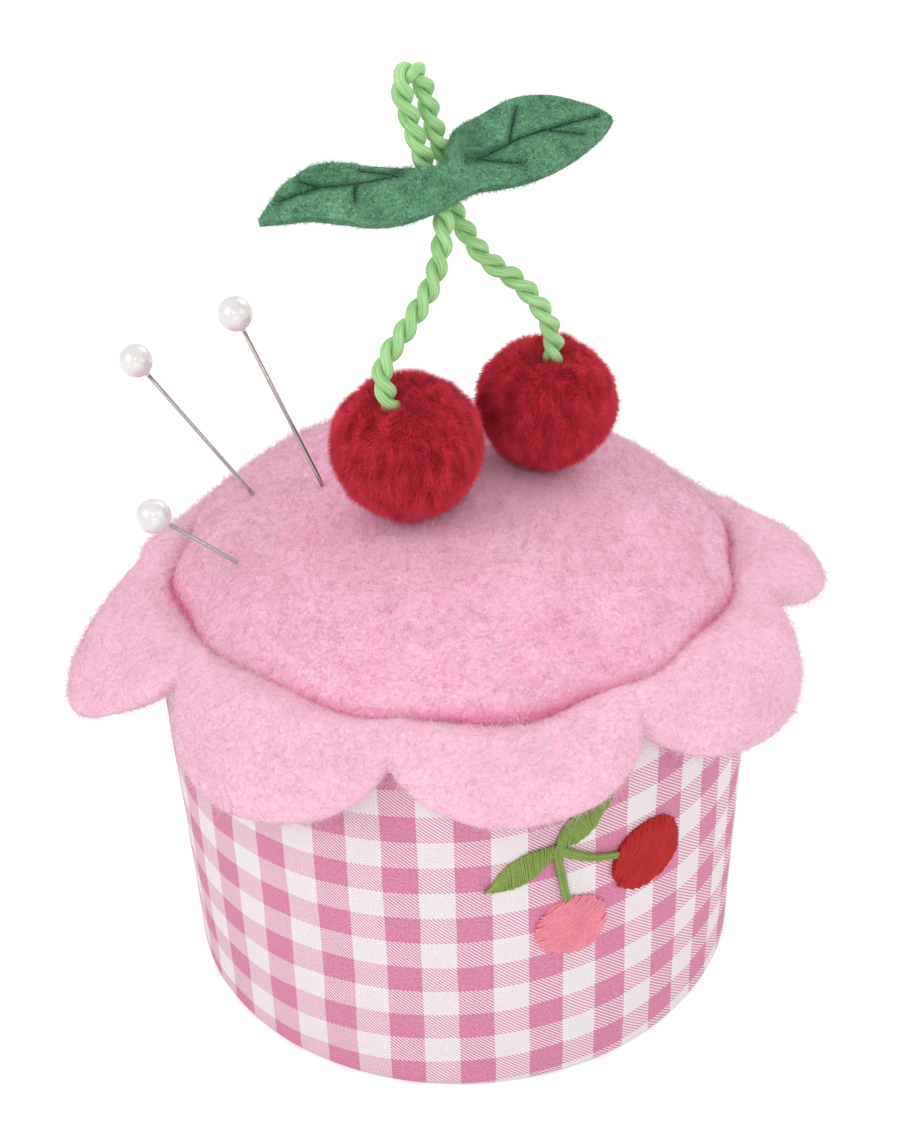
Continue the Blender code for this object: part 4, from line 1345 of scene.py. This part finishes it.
def make_cord():
    """Two-ply satin cord from cherry to cherry, with a standing loop."""
    stem = settings().stem
    guide = lines_object([cord_route()])
    cord = run_tree(cord_tree(), "twisted_stem", guide, {
        "Ply radius": stem.ply_radius, "Ply offset": stem.ply_offset, "Pitch": stem.pitch,
        "Step": CORD_STEP, "Material": cord_finish(),
    })
    bpy.data.objects.remove(guide, do_unlink=True)
    dress(cord, BODY, "green_cord", "stem_cord")


def vein_distance(x, y):
    """Distance in the leaf's plane from a place to the nearest vein."""
    spot = Vector((x, y))
    nearest = 1.0
    for vein in LEAF_VEINS:
        for start, end in zip(vein, vein[1:]):
            along = Vector(end) - Vector(start)
            share = min(max((spot - Vector(start)).dot(along) / along.length_squared, 0.0), 1.0)
            nearest = min(nearest, (spot - Vector(start) - along * share).length)
    return nearest


def leaf_plane():
    """The middle of the leaf, its direction across and the direction it faces."""
    tilt = settings().stem.leaf_tilt
    across = Vector((0, math.cos(tilt), math.sin(tilt)))
    facing = Vector((0, -math.sin(tilt), math.cos(tilt)))
    return (stem_point(LOOP[0]) + stem_point(LOOP[-1])) / 2, across, facing


def waist_fold(x, y):
    """Move of the leaf's waist, which folds up in front of the cord."""
    share = math.exp(-((x - WAIST_MIDDLE) / WAIST_WIDTH) ** 2) * ease(y, WAIST_FOOT, WAIST_TOP)
    return Vector(WAIST_WAY) * (WAIST_MOVE * share)


def leaf_point(x, y, proud=0.0):
    """A point on the leaf from its place in the leaf's plane."""
    middle, across, facing = leaf_plane()
    flat = middle + Vector((x, 0, 0)) + across * y
    curl = LEAF_CURL * math.cos(math.pi * x / LEAF_CURL_LENGTH) + lumps(flat, LEAF_LUMPS)
    groove = VEIN_GROOVE * math.exp(-(vein_distance(x, y) / VEIN_WIDTH) ** 2)
    return flat + facing * (proud + curl - groove) + waist_fold(x, y)


def vein_shade(vertex):
    """How dark the felt is at a point of the leaf, most along a vein: the vein's own dark line, widened
    by painted shade of its groove.
    """
    middle, across, _ = leaf_plane()
    off = vertex.co - middle
    return 0.7 * math.exp(-(vein_distance(off.x, off.dot(across)) / 0.00045) ** 2)


def smooth_at(points, spot):
    """A place on a smooth curve through points, counted in points from the first."""
    ends = [Vector(p) for p in (points[0], *points, points[-1])]
    low = min(int(spot), len(points) - 2)
    return spline(*ends[low:low + 4], spot - low)


def make_leaf():
    """Felt leaf pair with stitched veins, threaded on the cord."""
    stem = settings().stem
    columns, rows, trim = 120, 28, 0.06
    rings = []
    for k in range(columns + 1):
        spot = trim + (len(LEAF_LOWER) - 1 - 2 * trim) * k / columns
        low, high = smooth_at(LEAF_LOWER, spot), smooth_at(LEAF_UPPER, spot)
        rings.append([leaf_point(*low.lerp(high, row / rows)) for row in range(rows + 1)])
    # Near a vein the felt takes the vein colour: the vein's dark line plus painted shade of its groove
    felt = felt_finish("leaf_felt", stem.leaf_dark, stem.leaf_light, stem.vein, 0.0003)
    leaf = loft("felt_leaf", rings, felt, closed=False)
    thick = leaf.modifiers.new("felt", "SOLIDIFY")
    thick.thickness = stem.leaf_thickness
    thick.offset = 0
    soft = leaf.modifiers.new("edge", "BEVEL")
    soft.width = 0.25 * stem.leaf_thickness
    soft.segments = 2
    soft.limit_method = "ANGLE"
    settle(leaf)
    mark_depth(leaf, vein_shade)
    dress(leaf, BODY, "green_felt", "leaf_pair")
    # Near a vein the nap takes the vein colour: the vein's dark line plus painted shade of its groove
    fibres = nap_finish("leaf_fibres", stem.leaf_dark, stem.leaf_light, stem.vein)
    nap = make_pile("leaf_nap", leaf, fibres, Seed=5, **LEAF_NAP)
    dress(nap, BODY, "green_felt")
    top = stem.leaf_thickness / 2
    veins = []
    for vein in LEAF_VEINS:
        route = smooth_route([Vector((*p, 0)) for p in vein], ROUTE_STEP)
        veins.append([leaf_point(p.x, p.y, top - 0.00005) for p in route])
    thread = make_strands("leaf_veins", veins, VEIN_THREAD, floss_finish("vein_thread", stem.vein))
    dress(thread, BODY, "green_felt")


def on_wall(spot, proud):
    """A point of the embroidery, standing proud of the cloth."""
    sewn = settings().embroidery
    height = sewn.height + spot[1]
    angle = sewn.angle + spot[0] / wall_radius(sewn.height)
    return round_point(angle, wall_radius(height) + proud, height)


def stitch(start, end, low=0.0002, high=0.0006, end_low=0.0002):
    """One strand on the drum that rises a little between its ends."""
    line = []
    for k in range(6):
        share = k / 5
        spot = Vector(start).lerp(Vector(end), share)
        foot = low + (end_low - low) * share
        line.append(on_wall(spot, foot + (high - foot) * math.sin(math.pi * share) ** 0.6))
    return line


def sewn_pad(name, outline, material):
    """Low padding below the stitches."""
    middle = sum((Vector(p) for p in outline), Vector((0, 0))) / len(outline)
    rings = []
    for share, proud in PAD_LINE:
        rings.append([on_wall(middle + (Vector(p) - middle) * share, proud) for p in outline])
    return loft(name, rings, material, capped=True)


def disc_outline(middle, radius):
    """Places round a disc."""
    return [Vector(middle) + p.xy for p in circle(radius, 0.0, 40)]


def disc_stitches(middle, radius, slant, seed, gap):
    """Satin stitches side by side across a disc."""
    random.seed(seed)
    along = Vector((math.cos(slant), math.sin(slant)))
    side = Vector((-along.y, along.x))
    count = int(2 * radius / gap)
    lines = []
    for k in range(count):
        off = -radius + gap * (k + 0.5)
        half = math.sqrt(radius ** 2 - off ** 2)
        ends = [half + random.uniform(-0.0001, 0.00025) for _ in range(2)]
        spot = Vector(middle) + side * off
        cut = random.uniform(-0.5, 0.5) * half
        lines.append(stitch(spot - along * ends[0], spot + along * (cut + 0.0004), end_low=0.0005))
        lines.append(stitch(spot + along * ends[1], spot + along * (cut - 0.0004), end_low=0.0005))
    return lines


def blade_width(share):
    """Half the width of an embroidered leaf at a share of its length."""
    return SEWN_LEAF_WIDTH * math.sin(math.pi * min(max(share, 0.0), 1.0)) ** 0.8


def blade_outline(tip):
    """Places round a pointed leaf."""
    along = Vector(tip)
    across = Vector((-along.y, along.x)).normalized()
    shares = [k / 12 for k in range(13)]
    outline = [along * s + across * blade_width(s) for s in shares]
    return outline + [along * s - across * blade_width(s) for s in shares[-2:0:-1]]


def blade_stitches(tip, seed):
    """Slanting stitches across a pointed leaf."""
    random.seed(seed)
    along = Vector(tip)
    side = Vector((-along.y, along.x)).normalized()
    lines = []
    count = 34
    for k in range(count):
        share = (k + 0.5) / count
        ragged = [random.uniform(-0.0001, 0.00015) for _ in range(2)]
        low = along * (share - 0.10) - side * (blade_width(share - 0.05) + ragged[0])
        high = along * (share + 0.10) + side * (blade_width(share + 0.05) + ragged[1])
        lines.append(stitch(low, high))
    return lines


def stalk_stitches(start, end, sag):
    """A rope of short overlapping stitches."""
    low, high = Vector(start), Vector(end)
    along = (high - low).normalized()
    side = Vector((-along.y, along.x))
    spacing, apart = 0.0005, 0.0002
    count = int((high - low).length / spacing)
    reach = along * 0.0007 + side * 0.00016
    lines = []
    for k in range(count):
        share = k / count
        spot = low.lerp(high, share) - side * sag * math.sin(math.pi * share)
        for off in (-1, 1):
            here = spot + side * off * apart
            lines.append(stitch(here - reach, here + reach, 0.00015, 0.00045, 0.00015))
    return lines


def make_embroidery():
    """Two cherries, their stalks and a pair of leaves in satin stitch."""
    sewn = settings().embroidery
    shades = ("green", "red", "pink")
    floss = {shade: floss_finish(f"{shade}_floss", getattr(sewn, shade)) for shade in shades}
    radii = {"red": sewn.red_radius, "pink": sewn.pink_radius}
    pieces = []
    for name, (spot, slant, gap, seed, _) in SEWN_CHERRIES.items():
        lines = disc_stitches(spot, radii[name], math.radians(slant), seed, gap)
        pieces.append((f"embroidered_cherry_{name}", name, lines, disc_outline(spot, radii[name])))
    for side, (tip, seed) in SEWN_LEAVES.items():
        lines = blade_stitches(tip, seed)
        pieces.append((f"embroidered_leaf_{side}", "green", lines, blade_outline(tip)))
    for name, shade, lines, outline in pieces:
        strands = make_strands(f"{name}_strands", lines, sewn.strand, floss[shade])
        item = merge(f"{name}_stitches", [strands, sewn_pad(f"{name}_pad", outline, floss[shade])])
        item.data.shade_smooth()
        dress(item, BODY, f"{shade}_floss", name)
    overlap = 0.0003
    for name, (spot, _, _, _, sag) in SEWN_CHERRIES.items():
        middle = Vector(spot)
        towards = middle.normalized()
        reach = middle.length - radii[name] + overlap
        lines = stalk_stitches(towards * overlap, towards * reach, sag)
        stalk = make_strands(
            f"embroidered_stalk_{name}_stitches", lines, 1.5 * sewn.strand, floss["green"]
        )
        dress(stalk, BODY, "green_floss", f"embroidered_stalk_{name}")


def make_pins():
    """Steel shafts with pearl heads, each on its own body."""
    pin = settings().pin
    steel, pearl = steel_finish(), pearl_finish()
    for name in PIN_NAMES:
        head, axis = pin_line(name)
        placing = Matrix.Translation(head) @ axis.to_track_quat("Z", "Y").to_matrix().to_4x4()
        low, high = BOXES[f"{name}_head"]
        radius = (high.z - low.z) / 2

        def turned(piece, line, sides, material):
            """A closed piece from radii and heights along the pin."""
            rings = [[placing @ p for p in circle(size, height, sides)] for size, height in line]
            return loft(f"{name}_{piece}", rings, material, capped=True)

        line = [(s * pin.shaft_radius, -pin.reach + share * pin.point) for s, share in PIN_POINT]
        line.append((pin.shaft_radius, -radius * 0.5))
        shaft = turned("wire", line, 20, steel)
        dress(shaft, name, "steel", f"{name}_shaft")
        turns = [math.pi * k / 32 for k in range(1, 31)]
        line = [(radius * math.sin(t), radius * math.cos(t)) for t in turns]
        line += [(wide * pin.shaft_radius, -down * radius) for wide, down in PIN_COLLAR]
        bead = turned("pearl", line, 40, pearl)
        dress(bead, name, "pearl", f"{name}_head")


def finish_inner_pieces():
    """Gives the pieces inside their own surface."""
    card = inner_finish("card", CARD_COLOUR, 0.002)
    fibre = inner_finish("fibre", FIBRE_COLOUR, 0.0012)
    thread = floss_finish("plush_thread", settings().cherry.tip)
    finishes = {"card_base_disc": card, "card_cup_wall": card, "fibre_stuffing": fibre}
    for name in ("front", "rear"):
        finishes[f"cherry_{name}_stuffing"] = fibre
        finishes[f"cherry_{name}_tack"] = thread
    for node, material in finishes.items():
        frame["nodes"][node].data.materials.clear()
        frame["nodes"][node].data.materials.append(material)


def make_lamp(name, spot, power, size):
    """A large square lamp, turned to the cushion."""
    data = bpy.data.lights.new(name, "AREA")
    data.energy = power
    data.size = size
    lamp = new_object(name, data)
    lamp.location = spot
    lamp.rotation_euler = (Vector(LAMP_AIM) - Vector(spot)).to_track_quat("-Z", "Y").to_euler()


def shown_to_eye(tree):
    """1 for what the camera sees directly, in a mirror or through glass."""
    path = add_node(tree, "ShaderNodeLightPath", None, None, "Is Camera Ray")
    return (path + path.other("Is Glossy Ray") + path.other("Is Transmission Ray")).within()


def make_stage():
    """White floor, soft light and the camera."""
    stage = settings().stage
    ends = (-FLOOR_HALF_WIDTH, FLOOR_HALF_WIDTH)
    material = bpy.data.materials.new("white_floor")
    floor = loft("floor", [[Vector((x, y, 0)) for x in ends] for y in ends], material, closed=False)
    material.use_nodes = True
    tree = material.node_tree
    tree.nodes.clear()
    matt = add_node(tree, "ShaderNodeBsdfDiffuse", None, {"Color": (*stage.floor, 1.0)})
    glow = add_node(tree, "ShaderNodeEmission", None, {"Strength": shown_to_eye(tree) * stage.glow})
    both = add_node(tree, "ShaderNodeAddShader", None, {0: matt, 1: glow})
    add_node(tree, "ShaderNodeOutputMaterial", None, {"Surface": both}, None)

    world = bpy.data.worlds.new("studio")
    bpy.context.scene.world = world
    world.use_nodes = True
    tree = world.node_tree
    tree.nodes.clear()
    seen = shown_to_eye(tree)
    level = stage.sky + seen * (1 - stage.sky)
    sky = add_node(
        tree, "ShaderNodeBackground", None, {"Color": (1.0, 1.0, 1.0, 1.0), "Strength": level}
    )
    add_node(tree, "ShaderNodeOutputWorld", None, {"Surface": sky}, None)

    for name, (spot, size) in LAMPS.items():
        make_lamp(f"{name}_lamp", spot, getattr(stage, name), size)

    data = bpy.data.cameras.new("camera")
    data.sensor_fit = "VERTICAL"
    data.sensor_height = 36.0
    data.lens = stage.lens
    camera = new_object("camera", data)
    camera.location = stage.camera_place
    look = (Vector(stage.camera_aim) - Vector(stage.camera_place)).to_track_quat("-Z", "Y")
    camera.rotation_euler = (look @ Quaternion((0, 0, 1), stage.camera_roll)).to_euler()
    scene = bpy.context.scene
    scene.camera = camera
    scene.view_settings.view_transform = "Standard"


class CUSHION_OT_stage(bpy.types.Operator):
    """Adds the white floor, the soft light and the camera"""

    bl_idname = "pin_cushion.stage"
    bl_label = "Stage"

    def execute(self, context):
        make_stage()
        return {"FINISHED"}


class CUSHION_OT_sleeve(bpy.types.Operator):
    """Wraps the cloth round the drum"""

    bl_idname = "pin_cushion.sleeve"
    bl_label = "Gingham sleeve"

    def execute(self, context):
        make_sleeve()
        return {"FINISHED"}


class CUSHION_OT_base(bpy.types.Operator):
    """Closes the underside with felt"""

    bl_idname = "pin_cushion.base"
    bl_label = "Base disc"

    def execute(self, context):
        make_base()
        return {"FINISHED"}


class CUSHION_OT_dome(bpy.types.Operator):
    """Draws the felt over the stuffing"""

    bl_idname = "pin_cushion.dome"
    bl_label = "Felt dome"

    def execute(self, context):
        make_dome()
        return {"FINISHED"}


class CUSHION_OT_skirt(bpy.types.Operator):
    """Adds the plump felt scallops"""

    bl_idname = "pin_cushion.skirt"
    bl_label = "Scalloped skirt"

    def execute(self, context):
        make_skirt()
        return {"FINISHED"}


class CUSHION_OT_seam(bpy.types.Operator):
    """Stitches the crease between dome and skirt"""

    bl_idname = "pin_cushion.seam"
    bl_label = "Seam stitches"

    def execute(self, context):
        make_seam()
        return {"FINISHED"}


class CUSHION_OT_cherries(bpy.types.Operator):
    """Adds the two balls of red pile"""

    bl_idname = "pin_cushion.cherries"
    bl_label = "Plush cherries"

    def execute(self, context):
        make_cherries()
        return {"FINISHED"}


class CUSHION_OT_cord(bpy.types.Operator):
    """Twists the cord with its loop"""

    bl_idname = "pin_cushion.cord"
    bl_label = "Stem cord"

    def execute(self, context):
        make_cord()
        return {"FINISHED"}


class CUSHION_OT_leaf(bpy.types.Operator):
    """Cuts the leaf pair and stitches its veins"""

    bl_idname = "pin_cushion.leaf"
    bl_label = "Felt leaf"

    def execute(self, context):
        make_leaf()
        return {"FINISHED"}


class CUSHION_OT_embroidery(bpy.types.Operator):
    """Sews the cherries on the drum"""

    bl_idname = "pin_cushion.embroidery"
    bl_label = "Embroidery"

    def execute(self, context):
        make_embroidery()
        return {"FINISHED"}


class CUSHION_OT_pins(bpy.types.Operator):
    """Adds the steel pins with pearl heads"""

    bl_idname = "pin_cushion.pins"
    bl_label = "Pins"

    def execute(self, context):
        make_pins()
        return {"FINISHED"}


class CUSHION_OT_inside(bpy.types.Operator):
    """Gives card and stuffing their surface"""

    bl_idname = "pin_cushion.inside"
    bl_label = "Inner pieces"

    def execute(self, context):
        finish_inner_pieces()
        return {"FINISHED"}


STEPS = (
    CUSHION_OT_stage, CUSHION_OT_sleeve, CUSHION_OT_base,
    CUSHION_OT_dome, CUSHION_OT_skirt, CUSHION_OT_seam,
    CUSHION_OT_cherries, CUSHION_OT_cord, CUSHION_OT_leaf,
    CUSHION_OT_embroidery, CUSHION_OT_pins, CUSHION_OT_inside,
)


class CUSHION_PT_panel(bpy.types.Panel):
    """Lists the steps that make the pin cushion."""

    bl_label = "Pin cushion"
    bl_idname = "CUSHION_PT_panel"
    bl_space_type = "VIEW_3D"
    bl_region_type = "UI"
    bl_category = "Pin cushion"

    def draw(self, context):
        for step in STEPS:
            self.layout.operator(step.bl_idname)


GROUPS = (
    StageSettings, DrumSettings, TopSettings, CherrySettings, StemSettings, EmbroiderySettings,
    PinSettings, CushionSettings,
)


def register():
    for item in (*GROUPS, *STEPS, CUSHION_PT_panel):
        bpy.utils.register_class(item)
    bpy.types.Scene.pin_cushion = PointerProperty(type=CushionSettings)


def unregister():
    del bpy.types.Scene.pin_cushion
    for item in reversed((*GROUPS, *STEPS, CUSHION_PT_panel)):
        bpy.utils.unregister_class(item)


def main():
    register()
    for step in STEPS:
        family, name = step.bl_idname.split(".")
        getattr(getattr(bpy.ops, family), name)()


if __name__ == "__main__":
    main()
